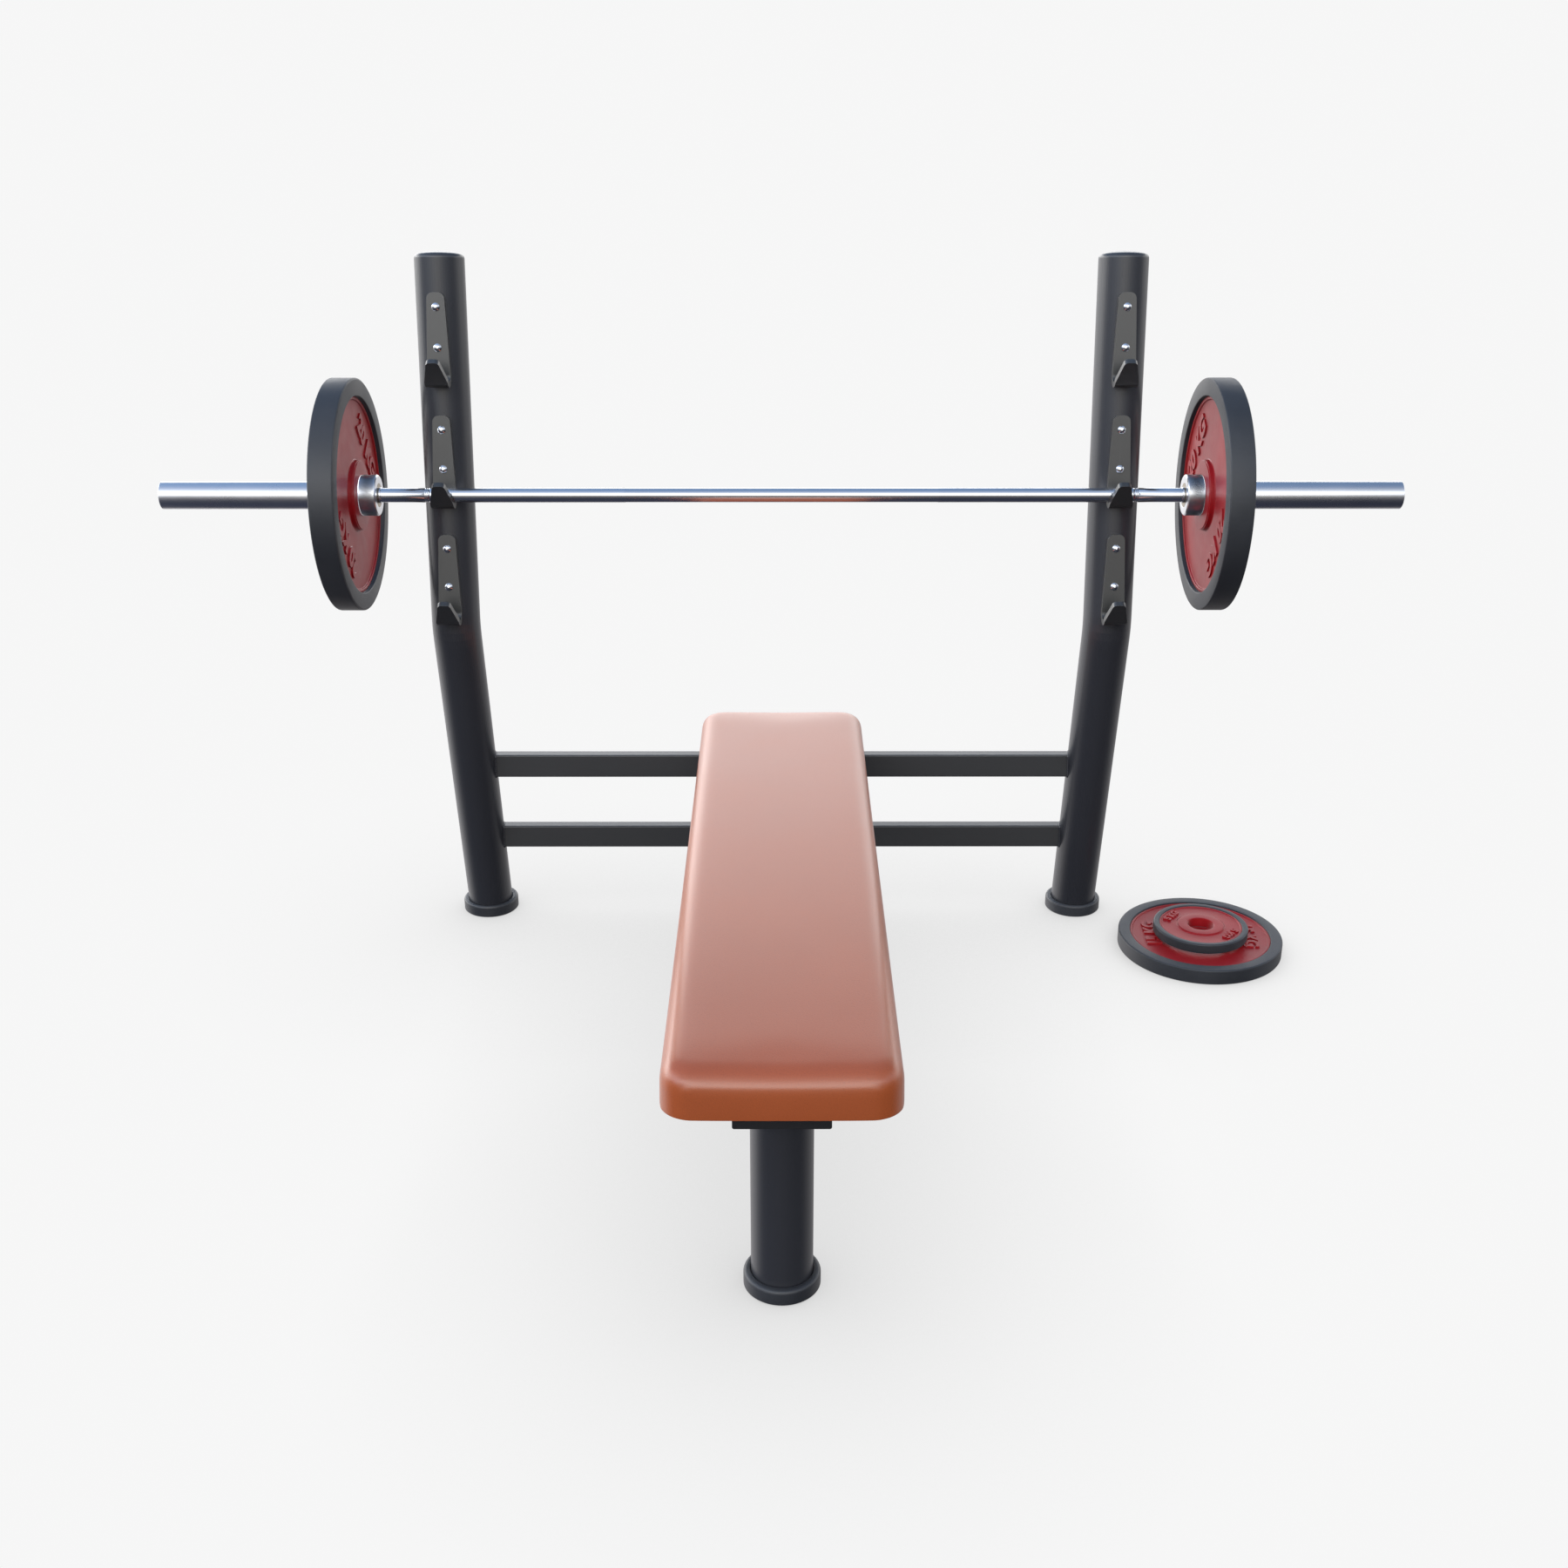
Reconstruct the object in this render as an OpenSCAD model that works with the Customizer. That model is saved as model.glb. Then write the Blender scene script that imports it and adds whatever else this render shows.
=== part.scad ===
// Olympic bench press: a padded bench on a bent-tube rack, a loaded barbell and two spare plates.
// Millimetres. X runs along the barbell, the lifter's feet are towards -Y, and +Z is up.
// The origin is on the floor, at the middle of the whole object's footprint.

/* [Frame] */
// Outer diameter of the round tubes
tube_d = 88; // [86:1:90]
// Wall thickness of the round tubes
tube_wall = 3; // [2:0.5:4]
// Distance from the middle to each upright
post_x = 601.6; // [590:1:610]
// Distance from the middle to where each upright's axis meets the floor
post_foot_y = 657.5; // [655:0.5:660]
// Forward lean of the lower part of each upright
lean_lower = 13.06; // [12:0.5:14]
// Backward lean of the upper part of each upright
lean_upper = 8.34; // [7:0.5:10]
// Height of the bend in each upright
bend_z = 648.9; // [640:1:660]
// Radius of that bend on the tube's axis
bend_r = 120; // [100:5:140]
// Length of the upper part, from the bend to the tube's end
upper_len = 650; // [645:1:670]
// Distance from the middle to the front leg
leg_y = 545; // [540:1:550]

/* [Cross members] */
// Height of a crossbar's section
bar_h = 46; // [44:1:50]
// Depth of a crossbar's section
bar_t = 25; // [22:1:30]
// Height of the upper crossbar's middle
upper_bar_z = 345; // [340:1:350]
// Height of the lower crossbar's middle
lower_bar_z = 177.5; // [170:1:190]
// How far the crossbars sit behind the uprights' axes
bar_set_back = 5; // [0:1:6]
// Width of the flat tube under the pad
spine_w = 130; // [125:1:140]
// Distance from the middle to the front end of that tube
spine_front = 642; // [630:1:650]

/* [Feet and caps] */
// Radius of the rubber feet
foot_r = 55; // [52:0.5:58]
// Height of the rubber feet
foot_h = 25; // [22:1:28]
// Thickness of rubber under a tube
foot_floor = 6; // [4:1:8]
// Height of the cap on top of each upright
cap_h = 14; // [10:1:16]

/* [Hooks] */
// Thickness of the bent plate
hook_t = 10; // [8:0.5:11]
// Distance between neighbouring hooks along the upright
hook_pitch = 209.5; // [200:0.5:215]
// Distance from the bend to the middle hook's seat centre
seat_s = 245; // [240:1:250]
// Inside radius of the hook's bend
seat_r = 12.5; // [12:0.1:12.6]
// Angle of the lip away from the upright
lip_angle = 42; // [36:1:48]
// Length of the lip's flat
lip_len = 46; // [42:1:50]
// Height of the plate's top above the seat
hook_top = 138; // [132:1:142]
// Half of the plate's width at the seat
hook_half_low = 20.5; // [19:0.5:22]
// Half of the plate's width at its top
hook_half_high = 15.5; // [14:0.5:17]

/* [Pad] */
// Width of the pad
pad_w = 312; // [300:1:320]
// Distance from the middle to the pad's front end
pad_front = 711; // [711:1:712]
// Distance from the middle to the pad's rear end
pad_rear = 636; // [610:1:640]
// Height of the pad's top
pad_top = 445; // [430:1:450]
// Radius of the pad's corners, seen from above
pad_corner = 42; // [40:1:46]
// Radius of the pad's top edge
pad_edge = 30; // [24:1:32]

/* [Barbell] */
// Length of the barbell
barbell_len = 2200; // [2190:10:2210]
// Diameter of the shaft
shaft_d = 25; // [24.8:0.1:25]
// Diameter of the sleeves
sleeve_d = 49; // [48:0.5:50]
// Diameter of the collars
collar_d = 72; // [70:1:74]
// Distance from the middle to the inner face of a collar
collar_x = 715; // [712:1:718]
// Thickness of a collar
collar_t = 30; // [28:1:31]

/* [Plates] */
// Diameter of the holes in the plates
bore_d = 50.4; // [50.2:0.1:51]
// Radius of the plates on the barbell
big_r = 203.5; // [200:0.5:210]
// Thickness of the plates on the barbell
big_t = 43; // [42:0.5:44]
// Radius of the larger spare plate
mid_r = 158; // [155:0.5:160]
// Thickness of the larger spare plate
mid_t = 30; // [29:0.5:31]
// Radius of the smaller spare plate
small_r = 91; // [90:0.5:95]
// Thickness of the smaller spare plate
small_t = 19.4; // [19:0.1:20]
// Distance from the middle to the spare plates, to the side
spare_x = 823.6; // [820:1:830]
// Distance from the middle to the spare plates, to the rear
spare_y = 474; // [470:1:480]

/* [Hidden] */
$fn = 64;

GAP = 0.3; // between bodies that move apart
OVER = 1; // how far a cutting solid runs past a face
LAP = 0.02; // how far two stretches of one bent piece run into each other
CUT = 100; // half the size of a block that cuts everything below a level

// Frame
tube_r = tube_d / 2;
tube_in = tube_r - tube_wall;
bend_y = post_foot_y - bend_z * tan(lean_lower);
bend_angle = lean_lower + lean_upper;
bend_back = bend_r * tan(bend_angle / 2);
lower_len = bend_z / cos(lean_lower) - bend_back;
bar_corner = 3;
bar_wall = 2.5;
spine_z = upper_bar_z - bar_h / 2;
spine_top = upper_bar_z + bar_h / 2;
foot_edge = 6;
foot_gap = 1.2;
foot_gap_depth = 3;
foot_y = pad_front - foot_r;

// Hooks, in each upright's own frame: x out, -y to the front, z along the upper part
shaft_r = shaft_d / 2;
seat_n = hook_t + shaft_r + GAP;
bend_n = hook_t + seat_r;
seat_drop = (shaft_r + GAP - seat_r) / tan(lip_angle / 2);
bend_turn = 180 - lip_angle;
bend_steps = 36;
lip_half_top = 12;
lip_corner = 8;
hook_corner = 11;
taper_play = 0.2;
screw_s = [44.6, 113.3];
screw_r = 4;
screw_slack = 0.5;
head_r = 7;
head_h = 4.5;
head_dome_r = 9.5;
boss_r = 8;
boss_len = 14;
boss_gap = 0.2;

// Barbell, from the middle hooks' seats
barbell_n = tube_r + seat_n;
barbell_y = bend_y + seat_s * sin(lean_upper) - barbell_n * cos(lean_upper);
barbell_z = bend_z + seat_s * cos(lean_upper) + barbell_n * sin(lean_upper);
half_bar = barbell_len / 2;
sleeve_x = collar_x + collar_t;
sleeve_r = sleeve_d / 2;
bush_r = 16;
bush_len = 42;
bush_clear = 0.05;
bush_flange_r = 21;
bush_flange_t = 3;
outer_bush_in = 75;
outer_bush_x = half_bar - outer_bush_in;
ring_x = outer_bush_x + bush_len + GAP;
ring_t = 1.5;
ring_r = 15;
groove_r = 11.6;
shoulder_r = 14;
shoulder_t = 4;
shoulder_x = collar_x - GAP;
shaft_short = 20;
shaft_end = half_bar - shaft_short;
cap_t = 5;
cap_r = 20;
sleeve_chamfer = 1;
collar_inner_chamfer = 2;
collar_outer_chamfer = 1;
stop_groove = 1;
mark_gap = 4;
plate_x = sleeve_x + GAP;
mark_x = plate_x + big_t + mark_gap;

// Rubber of each plate: width on the face, half thickness of the iron inside it, rubber past the iron
big_rubber = [31, 8, 11];
mid_rubber = [22.5, 7, 8];
small_rubber = [11.5, 4, 5];
// Iron of each plate: hub radius, half thickness of the web, half thickness and width of the ring
big_iron = [62, 10.8, 14.5, 6];
mid_iron = [55, 11, 13, 5];
small_iron = [46, 7, 8.5, 3];
small_z = mid_t + GAP + small_t / 2;

// Pad
board_z = spine_top;
board_t = 15;
board_inset = 16;
cover_lift = 10;
cover_z = board_z + cover_lift;
skin = 1.5;
bolt_x = 40;
bolt_y = [-430, -20, 390];
bolt_r = 4;
bolt_head_r = 6.5;
bolt_head_h = 5.3;
bolt_grip = 12;
washer_r = 10;
washer_t = 1.6;
washer_slack = 0.3;
tee_r = 5.2;
tee_flange_r = 11;
tee_flange_t = 1.5;
tee_short = 2;

// ---------- helpers ----------

// A frame on one upright: s runs up its upper part from the bend
module on_upper(side, s) {
    translate([side * post_x, bend_y, bend_z])
        rotate([-lean_upper, 0, 0])
            translate([0, 0, s])
                children();
}

// Where the line from point p touches the right-hand side of a circle at c
function touch(p, c, r) =
    let (d = c - p, len = norm(d), reach = sqrt(len * len - r * r), turn = asin(r / len))
    let (heading = atan2(d[1], d[0]) - turn)
    p + reach * [cos(heading), sin(heading)];

// A flat outline that narrows from half width a to half width b, with its two far corners rounded
module tongue(a, b, len, corner) {
    c = [b - corner, len - corner];
    t = touch([a, 0], c, corner);
    polygon([[-a, 0], [a, 0], t, c, [c[0], len], [-c[0], len], [-c[0], c[1]], [-t[0], t[1]]]);
    for (x = [-c[0], c[0]])
        translate([x, c[1]])
            circle(corner);
}

// A rounded rectangle of width w from y0 to y1
module rounded_plan(w, y0, y1, r) {
    translate([-w / 2, y0 + r])
        square([w, y1 - y0 - 2 * r]);
    translate([-w / 2 + r, y0])
        square([w - 2 * r, y1 - y0]);
    for (x = [-w / 2 + r, w / 2 - r], y = [y0 + r, y1 - r])
        translate([x, y])
            circle(r);
}

// A cushion block with a rounded top edge
module slab(w, y0, y1, z0, z1, corner, edge) {
    hull()
        for (x = [-w / 2 + corner, w / 2 - corner], y = [y0 + corner, y1 - corner])
            translate([x, y, z0]) {
                cylinder(r = corner, h = z1 - z0 - edge, $fn = 32);
                translate([0, 0, z1 - z0 - edge])
                    rotate_extrude($fn = 32)
                        intersection() {
                            translate([corner - edge, 0])
                                circle(edge, $fn = 32);
                            square(corner + edge);
                        }
            }
}

// A square-edged box tube section with small outer corners
module box_section(w, h) {
    difference() {
        rounded_plan(w, -h / 2, h / 2, bar_corner);
        square([w - 2 * bar_wall, h - 2 * bar_wall], center = true);
    }
}

// An outline above the x axis joined to its own mirror image below it
function both_ways(half) =
    concat(half, [for (i = [len(half) - 1:-1:0]) if (half[i][1] > 0) [half[i][0], -half[i][1]]]);

// Everything near a foot that lies under a level
module below(x, y, level) {
    translate([x - CUT, y - CUT, level - CUT])
        cube([2 * CUT, 2 * CUT, CUT]);
}

// Places things at each pad bolt
module at_bolts(z) {
    for (x = [-bolt_x, bolt_x], y = bolt_y)
        translate([x, y, z])
            children();
}

// Turns a part made along +Z so that it lies along the barbell on one side
module on_bar(side, x) {
    translate([0, barbell_y, barbell_z])
        rotate([0, side * 90, 0])
            translate([0, 0, x])
                children();
}

// ---------- frame ----------

module tube(len) {
    linear_extrude(len)
        difference() {
            circle(tube_r);
            circle(tube_in);
        }
}

// One upright as a solid of radius r: a lower part, a bend and an upper part
module upright_solid(side, r, extra) {
    translate([side * post_x, post_foot_y, 0])
        rotate([lean_lower, 0, 0]) {
            translate([0, 0, -foot_h])
                cylinder(r = r, h = lower_len + foot_h + LAP);
            translate([0, bend_r, lower_len])
                rotate([90, 0, -90])
                    rotate_extrude(angle = bend_angle)
                        translate([bend_r, 0])
                            circle(r);
        }
    on_upper(side, bend_back - LAP)
        cylinder(r = r, h = upper_len - bend_back + LAP + extra);
}

module upright(side) {
    color("#36373b")
        difference() {
            upright_solid(side, tube_r, 0);
            upright_solid(side, tube_in, OVER);
            below(side * post_x, post_foot_y, foot_floor);
            for (i = [-1:1], s = screw_s)
                on_upper(side, seat_s + i * hook_pitch + s)
                    rotate([90, 0, 0])
                        cylinder(r = screw_r + screw_slack, h = tube_d);
        }
}

module upright_cap(side) {
    lip_r = 10;
    stem = 20;
    color("#303134")
        on_upper(side, upper_len)
            union() {
                rotate_extrude() {
                    square([tube_r - lip_r, cap_h]);
                    square([tube_r, cap_h - lip_r]);
                    intersection() {
                        translate([tube_r - lip_r, cap_h - lip_r])
                            circle(lip_r);
                        square([tube_r, cap_h]);
                    }
                }
                translate([0, 0, -stem])
                    cylinder(r = tube_in, h = stem);
            }
}

module crossbar(z) {
    y = post_foot_y - z * tan(lean_lower) + bar_set_back;
    color("#3d3d3e")
        difference() {
            translate([-post_x, y, z])
                rotate([90, 0, 90])
                    linear_extrude(2 * post_x)
                        box_section(bar_t, bar_h);
            for (side = [-1, 1])
                translate([side * post_x, post_foot_y, 0])
                    rotate([lean_lower, 0, 0])
                        cylinder(r = tube_r, h = bend_z);
        }
}

module front_leg() {
    color("#343538")
        translate([0, -leg_y, foot_floor])
            tube(spine_z - foot_floor);
}

module spine_tube() {
    y1 = post_foot_y - upper_bar_z * tan(lean_lower) + bar_set_back - bar_t / 2;
    color("#343538")
        difference() {
            translate([0, -spine_front, upper_bar_z])
                rotate([-90, 0, 0])
                    linear_extrude(y1 + spine_front)
                        box_section(spine_w, bar_h);
            at_bolts(spine_z - OVER)
                cylinder(r = bolt_r + screw_slack, h = bar_h + 2 * OVER);
        }
}

module spine_end_plug() {
    flange = 3;
    stem = 15;
    color("#2b2b2d")
        translate([0, -spine_front, upper_bar_z])
            rotate([90, 0, 0]) {
                linear_extrude(flange)
                    rounded_plan(spine_w, -bar_h / 2, bar_h / 2, bar_corner);
                translate([0, 0, -stem])
                    linear_extrude(stem)
                        square([spine_w - 2 * bar_wall, bar_h - 2 * bar_wall], center = true);
            }
}

// ---------- feet ----------

module foot_profile() {
    bottom = 2;
    rotate_extrude() {
        square([foot_r - bottom, foot_h - foot_edge]);
        translate([0, bottom])
            square([foot_r, foot_h - foot_edge - bottom]);
        square([foot_r - foot_edge, foot_h]);
        intersection() {
            translate([foot_r - foot_edge, foot_h - foot_edge])
                circle(foot_edge);
            translate([0, foot_h - foot_edge])
                square([foot_r, foot_edge]);
        }
    }
}

module foot_front() {
    color("#333438")
        translate([0, -leg_y, 0])
            difference() {
                foot_profile();
                translate([0, 0, foot_floor])
                    cylinder(r = tube_r, h = foot_h);
                translate([0, 0, foot_h - foot_gap_depth])
                    cylinder(r = tube_r + foot_gap, h = foot_h);
            }
}

// The leaning socket of a rear foot, of radius r from a level up
module rear_socket(r, level) {
    difference() {
        translate([0, post_foot_y, 0])
            rotate([lean_lower, 0, 0])
                translate([0, 0, -foot_h])
                    cylinder(r = r, h = CUT);
        below(0, post_foot_y, level);
    }
}

module foot_rear(side) {
    color("#333438")
        translate([side * post_x, 0, 0])
            difference() {
                translate([0, foot_y, 0])
                    foot_profile();
                rear_socket(tube_r, foot_floor);
                rear_socket(tube_r + foot_gap, foot_h - foot_gap_depth);
            }
}

// ---------- hooks ----------

// A point at radius r on the bend of a hook, turned by a from where the bend leaves the plate
function on_bend(r, a) = [r * cos(a) - bend_n, -r * sin(a) - seat_drop];

// The hook seen from the side: x is away from the tube, y is along the upper part
module hook_profile() {
    lip_way = lip_len * [-sin(bend_turn), -cos(bend_turn)];
    turns = [for (i = [0:bend_steps]) i * bend_turn / bend_steps];
    polygon(concat(
        [[0, hook_top], [-hook_t, hook_top]],
        [for (a = turns) on_bend(seat_r, a)],
        [on_bend(seat_r, bend_turn) + lip_way, on_bend(seat_r + hook_t, bend_turn) + lip_way],
        [for (i = [bend_steps:-1:0]) on_bend(seat_r + hook_t, turns[i])]
    ));
}

// What is cut away beside a tapering end, made on a flat and lying along +Y
module taper_cut(b, len, corner) {
    translate([0, 0, -OVER])
        linear_extrude(hook_t + 2 * OVER)
            difference() {
                translate([-hook_half_low - OVER, 0])
                    square([2 * (hook_half_low + OVER), len + OVER]);
                tongue(hook_half_low + taper_play, b, len, corner);
            }
}

// One bent plate, in the upright's frame, with its seat's centre at z = 0
module hook_shape() {
    difference() {
        translate([-hook_half_low, 0, 0])
            rotate([90, 0, 90])
                linear_extrude(2 * hook_half_low)
                    hook_profile();
        translate([0, 0, -seat_drop])
            rotate([90, 0, 0])
                taper_cut(hook_half_high, hook_top + seat_drop, hook_corner);
        translate([0, -bend_n, -seat_drop])
            rotate([90 + lip_angle, 0, 0])
                translate([0, 0, seat_r])
                    taper_cut(lip_half_top, lip_len, lip_corner);
        for (s = screw_s)
            translate([0, OVER, s])
                rotate([90, 0, 0])
                    cylinder(r = screw_r + screw_slack, h = hook_t + 2 * OVER);
    }
}

module hook(side, i) {
    color("#4b4b48")
        on_upper(side, seat_s + i * hook_pitch)
            translate([0, -tube_r, 0])
                hook_shape();
}

module at_screws(side) {
    for (i = [-1:1], s = screw_s)
        on_upper(side, seat_s + i * hook_pitch + s)
            translate([0, -tube_r - hook_t, 0])
                rotate([90, 0, 0])
                    children();
}

module hook_screws(side) {
    color("#c9ccd2")
        at_screws(side) {
            intersection() {
                cylinder(r = head_r, h = head_h);
                translate([0, 0, head_h - head_dome_r])
                    sphere(r = head_dome_r);
            }
            translate([0, 0, -hook_t - tube_wall - boss_len])
                cylinder(r = screw_r, h = hook_t + tube_wall + boss_len);
        }
}

// Threaded bosses welded inside the tube behind each screw
module hook_bosses(side) {
    color("#77797c")
        difference() {
            at_screws(side)
                translate([0, 0, -hook_t - boss_len])
                    cylinder(r = boss_r, h = boss_len);
            on_upper(side, 0)
                difference() {
                    cylinder(r = tube_r + OVER, h = upper_len);
                    translate([0, 0, -OVER])
                        cylinder(r = tube_in - boss_gap, h = upper_len + 2 * OVER);
                }
            at_screws(side)
                translate([0, 0, -hook_t - boss_len - OVER])
                    cylinder(r = screw_r, h = boss_len + 2 * OVER);
        }
}

// ---------- pad ----------

// The board's outline, from a level up
module board_block(z, t) {
    translate([0, 0, z])
        linear_extrude(t)
            rounded_plan(pad_w - 2 * board_inset, board_inset - pad_front,
                pad_rear - board_inset, pad_corner - board_inset);
}

module pad_board() {
    color("#4a3a30")
        difference() {
            board_block(board_z, board_t);
            at_bolts(board_z - OVER)
                cylinder(r = tee_r, h = board_t + 2 * OVER);
            at_bolts(board_z + board_t - tee_flange_t)
                cylinder(r = tee_flange_r, h = tee_flange_t + OVER);
        }
}

module pad_foam() {
    color("#d9cfae")
        difference() {
            slab(pad_w - 2 * skin, skin - pad_front, pad_rear - skin, cover_z,
                pad_top - skin, pad_corner - skin, pad_edge - skin);
            board_block(cover_z - OVER, board_z + board_t - cover_z + OVER);
        }
}

module pad_cover() {
    color("#b85c37")
        difference() {
            slab(pad_w, -pad_front, pad_rear, cover_z, pad_top, pad_corner, pad_edge);
            slab(pad_w - 2 * skin, skin - pad_front, pad_rear - skin, cover_z - OVER,
                pad_top - skin, pad_corner - skin, pad_edge - skin);
        }
}

module pad_bolts() {
    color("#9a9da1")
        at_bolts(spine_z - washer_t) {
            translate([0, 0, -bolt_head_h])
                cylinder(r = bolt_head_r, h = bolt_head_h, $fn = 6);
            cylinder(r = bolt_r, h = bar_h + washer_t + bolt_grip);
        }
}

module pad_washers() {
    color("#a8aaad")
        at_bolts(spine_z - washer_t)
            difference() {
                cylinder(r = washer_r, h = washer_t);
                translate([0, 0, -OVER])
                    cylinder(r = bolt_r + washer_slack, h = washer_t + 2 * OVER);
            }
}

module pad_tee_nuts() {
    color("#b0a070")
        at_bolts(board_z)
            difference() {
                union() {
                    translate([0, 0, tee_short])
                        cylinder(r = tee_r, h = board_t - tee_short);
                    translate([0, 0, board_t - tee_flange_t])
                        cylinder(r = tee_flange_r, h = tee_flange_t);
                }
                translate([0, 0, -OVER])
                    cylinder(r = bolt_r, h = board_t + 2 * OVER);
            }
}

// ---------- barbell ----------

module bar_shaft() {
    half = [
        [shaft_r, shoulder_x - shoulder_t],
        [shoulder_r, shoulder_x - shoulder_t],
        [shoulder_r, shoulder_x],
        [shaft_r, shoulder_x],
        [shaft_r, ring_x],
        [groove_r, ring_x],
        [groove_r, ring_x + ring_t],
        [shaft_r, ring_x + ring_t],
        [shaft_r, shaft_end],
        [0, shaft_end]
    ];
    color("#c2c6cc")
        on_bar(1, 0)
            rotate_extrude()
                polygon(both_ways(half));
}

module shaft_ring(side) {
    color("#8f9296")
        on_bar(side, ring_x)
            difference() {
                cylinder(r = ring_r, h = ring_t);
                translate([0, 0, -OVER])
                    cylinder(r = groove_r, h = ring_t + 2 * OVER);
            }
}

module sleeve(side) {
    color("#c8ccd2")
        on_bar(side, 0)
            rotate_extrude()
                polygon([
                    [bush_r, collar_x + bush_flange_t],
                    [bush_flange_r, collar_x + bush_flange_t],
                    [bush_flange_r, collar_x],
                    [collar_d / 2 - collar_inner_chamfer, collar_x],
                    [collar_d / 2, collar_x + collar_inner_chamfer],
                    [collar_d / 2, sleeve_x - collar_outer_chamfer],
                    [collar_d / 2 - collar_outer_chamfer, sleeve_x],
                    [sleeve_r, sleeve_x],
                    [sleeve_r, mark_x],
                    [sleeve_r - stop_groove, mark_x],
                    [sleeve_r - stop_groove, mark_x + stop_groove],
                    [sleeve_r, mark_x + stop_groove],
                    [sleeve_r, half_bar - sleeve_chamfer],
                    [sleeve_r - sleeve_chamfer, half_bar],
                    [cap_r, half_bar],
                    [cap_r, half_bar - cap_t],
                    [bush_r, half_bar - cap_t]
                ]);
}

module inner_bush(side) {
    color("#b08a4a")
        on_bar(side, collar_x)
            rotate_extrude()
                polygon([
                    [shaft_r + bush_clear, 0],
                    [bush_flange_r, 0],
                    [bush_flange_r, bush_flange_t],
                    [bush_r, bush_flange_t],
                    [bush_r, bush_len],
                    [shaft_r + bush_clear, bush_len]
                ]);
}

module outer_bush(side) {
    color("#b08a4a")
        on_bar(side, outer_bush_x)
            difference() {
                cylinder(r = bush_r, h = bush_len);
                translate([0, 0, -OVER])
                    cylinder(r = shaft_r + bush_clear, h = bush_len + 2 * OVER);
            }
}

module end_cap(side) {
    stem = 8;
    sunk = 0.5;
    color("#3a3b3e")
        on_bar(side, half_bar - cap_t) {
            cylinder(r = cap_r, h = cap_t - sunk);
            translate([0, 0, -stem])
                cylinder(r = bush_r, h = stem);
        }
}

// ---------- plates ----------

module plate_core(r, t, rubber, iron) {
    h_hub = (t - GAP) / 2;
    step_h = 2;
    step_w = 1.5;
    chamfer = 1;
    face_r = r - rubber[0];
    h_tongue = rubber[1];
    tongue_r = r - rubber[2];
    hub_r = iron[0];
    h_web = iron[1];
    h_ring = iron[2];
    ring_r = face_r - iron[3];
    bore_r = bore_d / 2;
    color("#a8202e")
        rotate_extrude()
            polygon(both_ways([
                [tongue_r, h_tongue],
                [face_r, h_tongue],
                [face_r, h_ring],
                [ring_r, h_ring],
                [ring_r - chamfer, h_web],
                [hub_r + step_w, h_web],
                [hub_r, h_web + step_w],
                [hub_r, h_hub - step_h],
                [hub_r - step_w, h_hub - step_h],
                [hub_r - step_w, h_hub],
                [bore_r + chamfer, h_hub],
                [bore_r, h_hub - chamfer]
            ]));
}

module plate_rim(r, t, rubber) {
    edge = 3;
    width = rubber[0];
    h_tongue = rubber[1];
    face_r = r - width;
    color("#3c3f43")
        rotate_extrude()
            difference() {
                union() {
                    translate([face_r, edge - t / 2])
                        square([width, t - 2 * edge]);
                    translate([face_r, -t / 2])
                        square([width - edge, t]);
                    for (z = [-t / 2 + edge, t / 2 - edge])
                        translate([r - edge, z])
                            circle(edge);
                }
                translate([face_r - OVER, -h_tongue])
                    square([width - rubber[2] + OVER, 2 * h_tongue]);
            }
}

module big_core() { plate_core(big_r, big_t, big_rubber, big_iron); }
module big_rim() { plate_rim(big_r, big_t, big_rubber); }
module mid_core() { plate_core(mid_r, mid_t, mid_rubber, mid_iron); }
module mid_rim() { plate_rim(mid_r, mid_t, mid_rubber); }
module small_core() { plate_core(small_r, small_t, small_rubber, small_iron); }
module small_rim() { plate_rim(small_r, small_t, small_rubber); }

module on_sleeve(side) {
    on_bar(side, plate_x + big_t / 2)
        children();
}

module spare(z) {
    translate([spare_x, spare_y, z])
        children();
}

upright(-1);  // upright_left
upright(1);  // upright_right
upright_cap(-1);  // upright_cap_left
upright_cap(1);  // upright_cap_right
crossbar(upper_bar_z);  // crossbar_upper
crossbar(lower_bar_z);  // crossbar_lower
front_leg();
spine_tube();
spine_end_plug();
foot_front();
foot_rear(-1);  // foot_rear_left
foot_rear(1);  // foot_rear_right
hook(-1, 1);  // hook_left_top
hook(-1, 0);  // hook_left_middle
hook(-1, -1);  // hook_left_bottom
hook(1, 1);  // hook_right_top
hook(1, 0);  // hook_right_middle
hook(1, -1);  // hook_right_bottom
hook_screws(-1);  // hook_screws_left
hook_screws(1);  // hook_screws_right
hook_bosses(-1);  // hook_bosses_left
hook_bosses(1);  // hook_bosses_right
pad_board();
pad_foam();
pad_cover();
pad_bolts();
pad_washers();
pad_tee_nuts();
bar_shaft();
shaft_ring(-1);  // shaft_ring_left
shaft_ring(1);  // shaft_ring_right
sleeve(-1);  // sleeve_left
inner_bush(-1);  // inner_bush_left
outer_bush(-1);  // outer_bush_left
end_cap(-1);  // end_cap_left
sleeve(1);  // sleeve_right
inner_bush(1);  // inner_bush_right
outer_bush(1);  // outer_bush_right
end_cap(1);  // end_cap_right
on_sleeve(-1) big_core();  // plate_core_left
on_sleeve(-1) big_rim();  // plate_rim_left
on_sleeve(1) big_core();  // plate_core_right
on_sleeve(1) big_rim();  // plate_rim_right
spare(mid_t / 2) mid_core();  // spare_large_core
spare(mid_t / 2) mid_rim();  // spare_large_rim
spare(small_z) small_core();  // spare_small_core
spare(small_z) small_rim();  // spare_small_rim
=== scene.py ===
import math
import bmesh
import numpy
import bpy
from mathutils import Matrix, Vector
from mathutils.bvhtree import BVHTree


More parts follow.
